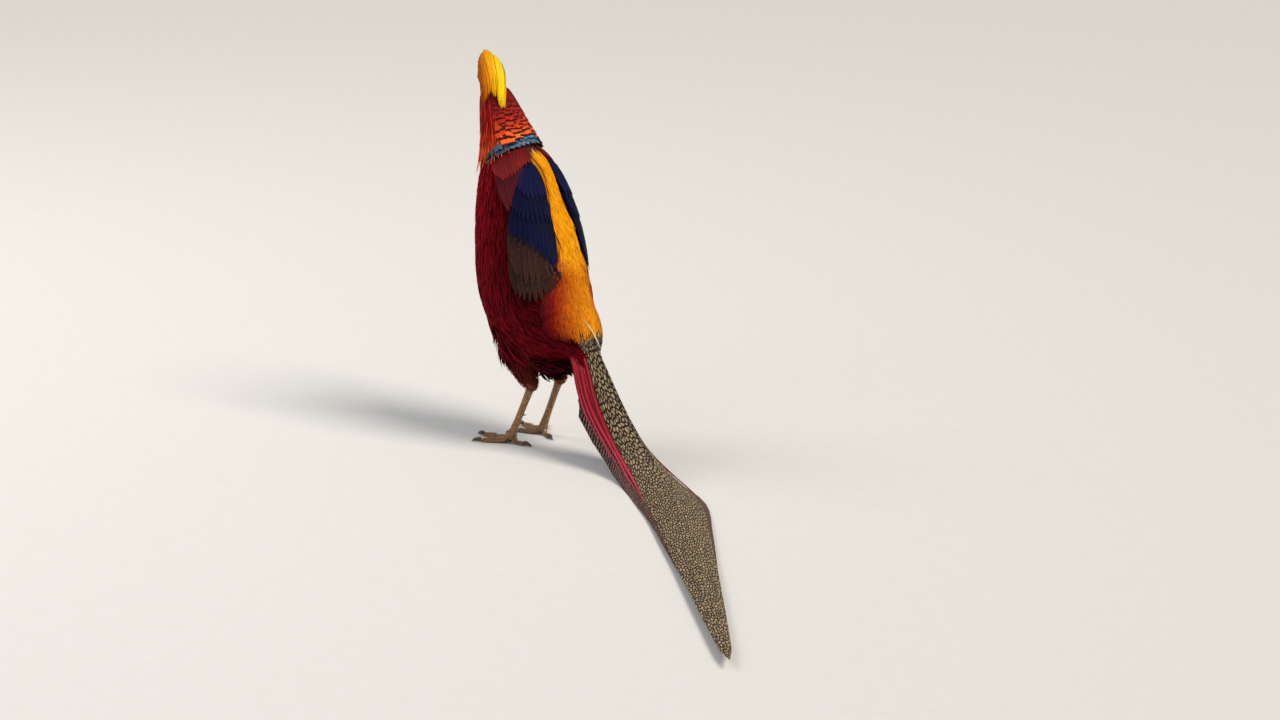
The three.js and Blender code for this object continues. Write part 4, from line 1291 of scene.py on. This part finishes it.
spotted = feather_material("Spotted tail feather", buff_spots, 0.6, 0.2, "#1A1008", barb=0.2)
barred = feather_material("Barred tail feather", slant_bars, 0.6, 0.2, "#2A1A0C", barb=0.2)
dark_brown = linear("#241C14")
plain_brown = lambda across, down: dark_brown
layer, root, tip = strands(tail_top, 120, 71, (0.6, 0.9), (2.6, 3.6), (-1.0, 1.8), plain_brown, 0.02)
tail_tracts = [tract(layer, spotted, root, tip, 72)]
for pair in range(len(TAIL_PAIRS)):
    finish, ground = (barred, linear("#24101A")) if pair else (spotted, dark_brown)
    tail_tracts += [tract(tail_vane(pair, sign), finish, ground, ground, 80 + pair) for sign in SIDES.values()]
feather_piece("tail_vanes", tail_tracts, ["tail_base", "tail_end"], floor=True)

# %% [markdown]
# ## Scarlet streamers
# The longest upper tail coverts hang beside the tail as narrow scarlet ribbons, gold at their roots.

# %% Streamers
# Painted shade: the edges of each streamer are painted dark, for the shade in the gaps between streamers.
def painted_gap_shade(tree, colour, maps):
    return blend(tree, step(tree, maps["across"], 0.4, 0.95), colour, rgba("#4A0814"))


# Painted highlight: a pale pink shaft down the middle of each streamer.
scarlet = feather_material("Scarlet tail covert", painted_gap_shade, 0.5, 0.15, "#E05A70")
STREAMER_START, STREAMER_ROWS = -30, 16
# Each: its length from the tail's root, how far down the slope it lies at its root and at its tip, its half width
STREAMERS = ((84, 39, 38, 2.4), (108, 36, 36, 2.4), (134, 34, 34, 2.4), (168, 30, 31, 2.6), (200, 26, 29, 2.6),
             (232, 22, 27, 2.8))
shares = np.linspace(0, 1, STREAMER_ROWS)
streamers = []
for n, (length, root_beside, tip_beside, half) in enumerate(STREAMERS):
    s = mix(STREAMER_START, length, shares)
    beside = mix(root_beside, tip_beside, smooth(s, -20, 130)) + 0.8 * np.sin(s / 23 + 2 * n)
    beside = beside * mix(0.58, 1, smooth(s, STREAMER_START, 60))
    for sign in SIDES.values():
        centre, across, out = on_tail(s, sign, beside, 0.6 + 0.5 * (n % 2) - tail_depth(s, beside))
        bake_at = 0.5 + sign * (0.1 + 0.05 * n)
        layer = lone_blade(centre, across, out, half * pointed(shares), shares, 0.25, length, bake_at)
        streamers.append(tract(layer, scarlet, linear("#960E20"), linear("#D83A54"), 90 + n))
feather_piece("scarlet_streamers", streamers, floor=True)


# %% [markdown]
# ## Crest
# The crest is a mop of long silky threads that rise from the brow, sweep back over the crown and fall behind
# the nape. Hundreds of narrow blades follow the same arch as the solid locks.


# %% Crest threads
CREST_THREADS, CREST_FAN = 620, 80
CREST_NOTCH = math.radians(14)  # the parting of the crest lies a little to the bird's left
CREST_LEAN = 0.22  # the top leans that way too
CREST_POINT = math.radians(48)  # and the longest threads hang on the right


def crest_paths(fan, scale):
    """Arches from the brow over the crown to the nape, in the head's own frame, spread like a fan."""
    wide, high = np.sin(fan), np.cos(fan)
    drop = np.abs(np.sin(fan + CREST_NOTCH))
    peak = high * (1 - 0.3 * drop * high)
    stations = [
        (9 * wide, 11 - 7 * drop, 6 + 3 * high),
        (11 * wide, 2 + 0 * wide, 10 + 10 * peak),
        (12.3 * wide, -9 + 0 * wide, 9 + 22 * peak),
        (12.8 * wide, -21 + 0 * wide, 4 + 20 * peak - 2 * drop),
        (12.4 * wide, -31 + 0 * wide, -4 + 13 * peak - 5 * drop),
        (11.6 * wide, -36 + 0 * wide, -12 + 10 * peak - 10 * drop),
    ]
    rows = np.stack([np.stack(station, -1) for station in stations], axis=1)
    scale = scale[:, None]
    rows[..., 0] *= scale
    rows[..., 0] -= CREST_LEAN * np.maximum(rows[..., 2] - 8, 0)
    rows[:, -2:, 2] -= 3.5 * smooth(np.cos(fan - CREST_POINT), 0.9, 1.0)[:, None] * [0.5, 1]
    rows[..., 1] *= mix(0.6, 1, scale)
    rows[..., 2] = 4 + (rows[..., 2] - 4) * scale
    return rows


def crest_threads(count, seed):
    """Threads that each follow a part of their own arch, and the place of each in the fan."""
    rng = np.random.default_rng(seed)
    fan = np.radians(rng.uniform(-CREST_FAN, CREST_FAN, count))
    scale = rng.uniform(0.55, 1.03, count)
    rows = crest_paths(fan, scale)
    start = rng.uniform(0, 0.35, count)
    end = np.minimum(start + rng.uniform(0.62, 0.9, count), 1.06)
    shares = np.linspace(0, 1, 9)
    frames = []
    for share in shares:
        t = mix(start, end, share)
        spots = np.stack([spline(rows[n], np.array([t[n] - 0.02, t[n], t[n] + 0.02])) for n in range(count)])
        way = unit(spots[:, 2] - spots[:, 0])
        side = square_to(way, np.stack([np.cos(fan), 0 * fan, -np.sin(fan)], -1))
        half = rng.uniform(0.8, 1.3) * pointed(share)
        frames.append((spots[:, 1], side, np.cross(side, way), np.full(count, half)))
    centres, sides, ups, halves = (np.stack(parts, axis=1) for parts in zip(*frames))
    turned = head.place[:3, :3].T
    made = blades(head.put(centres), sides @ turned, ups @ turned, halves, shares, 3, 0.3, 0.3)
    bake = np.stack([0.5 + fan / math.pi * 0.9, 0.1 + 0.8 * start], -1)
    return {**made, "length": np.full(count, 45.0), "bake": bake}, fan


crest_silk = feather_material("Golden crest silk", None, 0.45, 0.1, barb=0.3)
layer, fan = crest_threads(CREST_THREADS, 5)
# Painted shade and light: threads on the bird's left of the fan are painted dark orange, those on its right bright pale
# yellow.
crest_painted_light_and_shade = ramp(np.degrees(fan), (-80, "#9C3E02"), (-50, "#C05C04"), (-22, "#E08C06"), (5, "#F8B408"),
                    (35, "#FFD60E"), (60, "#FFE01C"), (80, "#E8A00A"))
feather_piece("crest", [tract(layer, crest_silk, crest_painted_light_and_shade * 0.85, crest_painted_light_and_shade * 1.1, 100)])

# %% [markdown]
# ## Face
# Below the crest the cheeks and throat are rusty buff, in the smallest feathers of all.

# %% Face feathers
EYE_AT = (8.9, 7.5, 3.6)
FACE_SPACING, FACE_LENGTH = 1.7, 4.6
eye_places = {}
for side, sign in SIDES.items():
    axis = Vector((sign, 0.12, 0.16)).normalized()
    # The eye's own z looks out, and its x runs forwards along the slit
    forwards = (Vector((0, 1, -0.1)) - axis * axis.dot(Vector((0, 1, -0.1)))).normalized()
    turned = Matrix((forwards, axis.cross(forwards), axis)).transposed().to_4x4()
    eye_places[side] = head_place @ Matrix.Translation((sign * EYE_AT[0], EYE_AT[1], EYE_AT[2])) @ turned


def off_eye(points):
    """How far points lie off the nearer eye's axis."""
    found = []
    for place in eye_places.values():
        local = np.concatenate([points, np.ones((len(points), 1))], axis=1) @ np.array(place.inverted()).T
        found.append(np.where(local[:, 2] > -3, np.hypot(local[:, 0], local[:, 1]), 99))
    return np.min(found, axis=0)


def ahead(points, near):
    """Where the tips of face feathers come to lie."""
    return points + known["flow"][near] * FACE_LENGTH


face_rust = feather_material("Rusty face feather", None, 0.7, shaft="#8A5A30", sheen=0.3)
points, near = surface.scatter(FACE_SPACING, 17, lambda points, near: (known["part"][near] == 1)
                               & (known["t"][near] < 0.93) & (off_eye(points) > 4.2)
                               & (off_eye(ahead(points, near)) > 3.7))
base = known["colour"][near]
# Round the eye they lie on the mound of the lids
mound = np.interp(off_eye(points), (4.2, 5.5, 7), (1.3, 0.7, 0))
mound_ahead = np.interp(off_eye(ahead(points, near)), (3.7, 5.5, 7), (1.4, 0.7, 0))
stray = rng.normal(0, 0.15, len(points))
layer = lay_on_skin(points, near, FACE_LENGTH, 0.95, (mound - 0.7, mound_ahead + 0.6), stray, 0.0, 0.12)
feather_piece("face_feathers", [tract(layer, face_rust, base * 0.85, base * 1.15, 110)])

# %% [markdown]
# ## Bill
# The bill is two horn sheaths that meet along a gently drooping line, with the nostril low in the upper one.


# %% Bill
def horn_material(name, dark, light, scale=260.0):
    def looks(tree):
        specks = grain(tree, scale)
        colour = blend(tree, specks, rgba(dark), rgba(light))
        # Painted shade: the horn is painted near black in the nostril slits, by how deep they are.
        colour = blend(tree, painted(tree, "nostril_shade", 2), colour, rgba("#1A120A"))
        bump = add(tree, "Bump", {"Strength": 0.25, "Distance": 0.0002, "Height": specks})
        return {"Base Color": colour, "Roughness": 0.38, "Normal": bump}

    return new_material(name, looks)


def solid_piece(name, bm, material, replaces):
    mesh = placed_mesh(name, bm)
    mesh.shade_smooth()
    mesh.materials.append(material)
    return finish_piece(bpy.data.objects.new(name, mesh), replaces)


def cut_off(bm, at, normal):
    """Cuts away what lies beyond a plane, and closes the cut."""
    geometry = [*bm.verts, *bm.edges, *bm.faces]
    cut = bmesh.ops.bisect_plane(bm, geom=geometry, plane_co=at, plane_no=normal, clear_outer=True)
    rim = [part for part in cut["geom_cut"] if isinstance(part, bmesh.types.BMEdge)]
    if rim:
        bmesh.ops.holes_fill(bm, edges=rim)


UPPER_BILL = [[0, 18, -0.5, 3.6, 3.6], [0, 25, 0.2, 4.2, 3.8], [0, 32, -0.6, 3.3, 3.2], [0, 39, -3, 2.1, 2.4],
              [0, 43.5, -6.6, 0.5, 0.8]]
LOWER_BILL = [[0, 17, -4, 3.2, 2.8], [0, 25, -4.2, 3.6, 2.8], [0, 33, -4.8, 2.5, 2.1], [0, 39, -6, 1, 0.8]]
MOUTH_AT, MOUTH_SLOPE, MOUTH_GAP = (0, 25, -3), math.radians(-9), 0.14
bill_horn = horn_material("Pale bill horn", "#8A7038", "#C9B27A")


# The nostril is a slit under a small horny flap: where it is along the bill and round it, and its half sizes
NOSTRIL_T, NOSTRIL_TURN, NOSTRIL_LONG, NOSTRIL_HIGH = 0.36, math.radians(68), 1.7, 0.55


def nostrils(bm):
    """Presses a slit into both sides of the upper bill, raises a flap over it, and marks how deep it is, where the horn
    is painted darker as painted shade.
    """
    shape = Body(UPPER_BILL)
    nostril_shade = bm.verts.layers.float.new("nostril_shade")
    for sign in SIDES.values():
        at = shape.at(NOSTRIL_T, sign * NOSTRIL_TURN)
        out = shape.outward(NOSTRIL_T, sign * NOSTRIL_TURN)
        along = unit(shape.slopes(NOSTRIL_T, sign * NOSTRIL_TURN)[0])
        up = np.cross(along, out) * sign
        for vert in bm.verts:
            off = np.array(vert.co) - at
            x, y = off @ along / NOSTRIL_LONG, off @ up / NOSTRIL_HIGH
            if abs(x) > 2 or abs(y) > 5 or off @ out < -2:
                continue
            hole = math.exp(-((x**2 + y**2) ** 2))
            flap = math.exp(-(x**2 * 0.7 + (y - 1.6) ** 2 * 0.8))
            vert.co += Vector(out * (0.35 * flap - 0.9 * hole))
            vert[nostril_shade] = max(vert[nostril_shade], hole)


for name, rows, facing in (("bill_upper", UPPER_BILL, 1), ("bill_lower", LOWER_BILL, -1)):
    bm = body_ball(Body(rows), 72, 72)
    if facing > 0:
        nostrils(bm)
    normal = Vector((0, math.sin(MOUTH_SLOPE), -math.cos(MOUTH_SLOPE))) * facing
    cut_off(bm, Vector(MOUTH_AT) - normal * MOUTH_GAP / 2, normal)
    bmesh.ops.transform(bm, matrix=head_place, verts=bm.verts)
    bmesh.ops.recalc_face_normals(bm, faces=bm.faces)
    solid_piece(f"{name}_horn", bm, bill_horn, [name])

# %% [markdown]
# ## Eyes
# The iris is pale yellow round a black pupil. How far a point lies off the eye's own axis is painted on the
# ball, and a ramp turns that into pupil, iris and dark rim.

# %% Eyes and lids
EYE_RADIUS = 4.6
# The lids: the slit's half length and half height, and folds outside it, each as far from the slit's edge and as
# high over the middle of the ball as given. The last ones lie under the feathers round the eye
SLIT_LONG, SLIT_HIGH = 3.0, 2.5
LID_FOLDS = ((0.3, 3.1), (-0.05, 3.5), (0.05, 3.85), (0.35, 4.0), (0.7, 3.75), (0.95, 3.8), (1.3, 3.4), (1.6, 3.35),
             (2.0, 2.9), (2.8, 2.0), (3.6, 1.0), (3.6, 0.2), (0.6, 2.2))
LID_STEPS = 48
IRIS = ((0.0, "#050404"), (0.21, "#050404"), (0.235, "#B98A20"), (0.3, "#E2BE52"), (0.4, "#E8CF72"), (0.47, "#3A2410"))


def eye_looks(tree):
    fibres = grain(tree, 1600.0, 2.0)
    iris = add(tree, "ValToRGB", [calc(tree, "MULTIPLY_ADD", fibres, 0.03, painted(tree, "off_axis", 2))])
    stops = iris.color_ramp.elements
    while len(stops) < len(IRIS):
        stops.new(0.5)
    for stop, (place, colour) in zip(stops, IRIS):
        stop.position, stop.color = place, rgba(colour)
    return {"Base Color": iris, "Roughness": 0.08, "Coat Weight": 1.0, "Coat Roughness": 0.03}


def lids():
    """Both lids in one ring round the ball: folds of skin that end at an almond slit, closed behind."""
    bm = bmesh.new()
    turns = np.linspace(0, 2 * math.pi, LID_STEPS, endpoint=False)
    slit = mix(SLIT_HIGH, SLIT_LONG, np.abs(np.cos(turns)) ** 1.5)
    rings = []
    for beyond, height in LID_FOLDS:
        places = zip(slit + beyond, turns)
        rings.append([bm.verts.new((far * math.cos(turn), far * math.sin(turn), height)) for far, turn in places])
    for ring, other in zip(rings, rings[1:] + rings[:1]):
        for n in range(LID_STEPS):
            bm.faces.new((ring[n], ring[(n + 1) % LID_STEPS], other[(n + 1) % LID_STEPS], other[n]))
    bmesh.ops.recalc_face_normals(bm, faces=bm.faces)
    return bm


wet_eye = new_material("Wet pale iris", eye_looks)
bare_skin = horn_material("Bare yellow eyelid", "#8A6022", "#C0953C", 700.0)
for side, place in eye_places.items():
    bm = bmesh.new()
    bmesh.ops.create_uvsphere(bm, u_segments=32, v_segments=48, radius=EYE_RADIUS)
    off = [math.acos(max(-1, min(1, v.co.z / EYE_RADIUS))) / (math.pi / 2) for v in bm.verts]
    bmesh.ops.transform(bm, matrix=place, verts=bm.verts)
    ball = solid_piece(f"eyeball_{side}", bm, wet_eye, [f"eye_{side}"])
    store(ball.data, "off_axis", np.array(off))
    bm = lids()
    bmesh.ops.transform(bm, matrix=place, verts=bm.verts)
    solid_piece(f"eyelid_{side}", bm, bare_skin, [])

# %% [markdown]
# ## Legs, feet and claws
# Shanks and toes are bare and scaly. A smooth shank carries overlapping shields down its front and small
# scales behind, made like very short stiff feathers, and each toe wears a row of them.


# %% Legs
def leg_looks(tree):
    place = add(tree, "TexCoord").outputs["Object"]
    scales = add(tree, "TexVoronoi", {"Vector": place, "Scale": 520.0}, feature="DISTANCE_TO_EDGE")
    groove = step(tree, scales, 0.0, 0.12)
    stain = blend(tree, grain(tree, 90.0, 3.0), rgba("#75502C"), rgba("#A87C4A"))
    bump = add(tree, "Bump", {"Strength": 0.5, "Distance": 0.0003, "Height": groove})
    return {"Base Color": blend(tree, groove, rgba("#5A4024"), stain), "Roughness": 0.45, "Normal": bump}


def shield_edge(tree, colour, maps):
    edge = calc(tree, "MAXIMUM", step(tree, maps["across"], 0.7, 1.0), step(tree, maps["along"], 0.75, 1.0))
    return blend(tree, calc(tree, "MULTIPLY", edge, 0.5), colour, rgba("#6A4824"))


leg_scales = new_material("Horn-coloured leg scales", leg_looks)
shield = feather_material("Leg shield", shield_edge, 0.4, 0.5, "#A87E4C", barb=0.1)
claw_horn = horn_material("Dark claw horn", "#2E2016", "#5A4430", 300.0)


def toe_rows(length, radius, joints):
    rows = []
    for i in range(9):
        share = i / 8
        pads = 1 + 0.13 * math.cos(2 * math.pi * share * joints)
        thick = radius * mix(1, 0.72, share) * pads * (0.45 if i == 8 else 1)
        rows.append([0, length * share, float(mix(8, thick * 0.82, smooth(share, 0, 0.35))), thick, thick * 0.95])
    return rows


def claw_rows(length):
    start = length - 1.5
    return [
        [0, start, 2.6, CLAW_RADIUS * 0.6, CLAW_RADIUS * 0.7],
        [0, start + CLAW_LENGTH * 0.25, 3.1, CLAW_RADIUS, CLAW_RADIUS * 1.1],
        [0, start + CLAW_LENGTH * 0.65, 2.5, CLAW_RADIUS * 0.6, CLAW_RADIUS * 0.8],
        [0, start + CLAW_LENGTH, 0.7, 0.25, 0.3],
    ]


def shields(shape, t, turn, length, half, lifts, heading, outline, cols, camber, thick, seed):
    """A row of scales along a shank or a toe."""
    layer = lay(shape, t, np.full(len(t), turn), length, half, lifts, heading, 0.0, outline, SHORT_STEPS, cols, camber,
                thick)
    tone = mix(linear("#8A6238"), linear("#AE8452"), rng.random((len(t), 1)))
    return tract(layer, shield, tone * 0.9, tone, seed)


# The rows of scales on a shank: their turn from its back, their half width, their pitch along it and their length
SHANK_ROWS = [(sign * turn, half, pitch, length) for turn, half, pitch, length in
              ((152, 2.3, 0.055, 5.2), (105, 1.5, 0.045, 4), (60, 1.4, 0.045, 3.6), (18, 1.4, 0.045, 3.6))
              for sign in (1, -1)]
TOE_PITCH = 3.4
DOWN = Vector((0, 0, -1))


for side, leg in LEGS.items():
    hock, foot = np.array(leg["hock"], float), np.array(leg["foot"], float)
    rows = [[*mix(foot, hock, i / 4), radius * 0.86, radius] for i, radius in enumerate(SHANK_RADII)]
    shank = Body(rows)
    foot_place = Matrix.Translation((foot[0], foot[1], 0)) @ Matrix.Rotation(leg["heading"], 4, "Z")
    bm = body_ball(shank, 24, 40)
    spur = bmesh.ops.create_cone(bm, segments=12, radius1=1.7, radius2=0.25, depth=8, cap_ends=True)
    into_back = Vector((-leg["sign"] * 0.35, -1, 0.25)).normalized()
    spur_at = Vector(mix(foot, hock, 0.36)) + into_back * 4
    spur_turn = into_back.to_track_quat("Z", "Y").to_matrix().to_4x4()
    bmesh.ops.transform(bm, matrix=Matrix.Translation(spur_at) @ spur_turn, verts=spur["verts"])
    solid_piece(f"shank_skin_{side}", bm, leg_scales, [f"shank_{side}"])

    rng = np.random.default_rng(31)
    scutes = []
    for n, (turn, half, pitch, length) in enumerate(SHANK_ROWS):
        t = np.arange(0.05 + 0.5 * pitch * (n % 2), 0.93, pitch)
        scutes.append(shields(shank, t, math.radians(turn), length, half, (-0.25, 0.45), 0.0, rounded, 3, 0.1, 0.2,
                              120 + n))
    toes = bmesh.new()
    bmesh.ops.create_uvsphere(toes, u_segments=20, v_segments=12, radius=5)
    bmesh.ops.translate(toes, vec=(foot[0], foot[1], foot[2] - 1), verts=toes.verts)
    for name, toe in TOES.items():
        place = foot_place @ Matrix.Rotation(leg["sign"] * math.radians(toe["turn"]), 4, "Z")
        shape = Body(toe_rows(toe["length"], toe["radius"], toe["joints"]), place)
        absorb(toes, body_ball(shape, 20, 28))
        claw = body_ball(Body(claw_rows(toe["length"]), place), 20, 16)
        cut_off(claw, Vector(), DOWN)
        bmesh.ops.recalc_face_normals(claw, faces=claw.faces)
        solid_piece(f"claw_{side}_{name}_horn", claw, claw_horn, [f"claw_{side}_{name}"])
        t = np.arange(0.12, 0.97, TOE_PITCH / toe["length"])
        scutes.append(shields(shape, t, 0.0, 4.4, toe["radius"] * 0.72, (-0.2, 0.45), math.pi, squared, 5, 0.22, 0.25,
                              130))
    cut_off(toes, Vector(), DOWN)
    solid_piece(f"foot_skin_{side}", toes, leg_scales, [f"foot_{side}"])
    feather_piece(f"leg_shields_{side}", scutes, floor=True)

# %% [markdown]
# ## Floor and light
# A plain pale floor, a soft sun high up, a large weak lamp on the bird's left and a smaller one ahead of it that
# gives its edge a thin bright rim.


# %% Floor
def floor_looks(tree):
    return {"Base Color": blend(tree, grain(tree, 60.0, 2.0), rgba("#D9D6D0"), rgba("#DEDBD6")), "Roughness": 0.8}


bm = bmesh.new()
bmesh.ops.create_grid(bm, x_segments=2, y_segments=2, size=40)
floor_mesh = bpy.data.meshes.new("studio_floor")
bm.to_mesh(floor_mesh)
bm.free()
floor_mesh.materials.append(new_material("Pale studio paper", floor_looks))
floor_piece = bpy.data.objects.new("studio_floor", floor_mesh)
bpy.context.scene.collection.objects.link(floor_piece)


# %% Lights
def soft_lamp(name, azimuth, elevation, distance, size, power, colour):
    a, e = math.radians(azimuth), math.radians(elevation)
    lamp = bpy.data.lights.new(name, "AREA")
    lamp.shape = "DISK"
    lamp.size = size
    lamp.energy = power
    lamp.color = linear(colour)
    lit = bpy.data.objects.new(name, lamp)
    spot = Vector((math.sin(a) * math.cos(e), -math.cos(a) * math.cos(e), math.sin(e))) * distance
    aim = BETWEEN_FEET + Vector((0, 0, 0.18))
    lit.location = aim + spot
    lit.rotation_euler = (-spot).to_track_quat("-Z", "Y").to_euler()
    bpy.context.scene.collection.objects.link(lit)


soft_lamp("fill", -80, 30, 3.0, 2.4, 10, "#EEF3FF")
soft_lamp("rim", -150, 45, 2.6, 1.4, 22, "#FFFFFF")
sun = bpy.data.lights.new("key", "SUN")
sun.energy, sun.angle, sun.color = 2.6, math.radians(24), linear("#FFF8EE")
key = bpy.data.objects.new("key", sun)
key.rotation_euler = (math.radians(38), math.radians(12), 0)
bpy.context.scene.collection.objects.link(key)
world = bpy.data.worlds.new("studio")
world.use_nodes = True
world.node_tree.nodes["Background"].inputs[0].default_value = rgba("#DDE3EA")
world.node_tree.nodes["Background"].inputs[1].default_value = 0.45
bpy.context.scene.world = world
bpy.context.scene.view_settings.view_transform = "Standard"
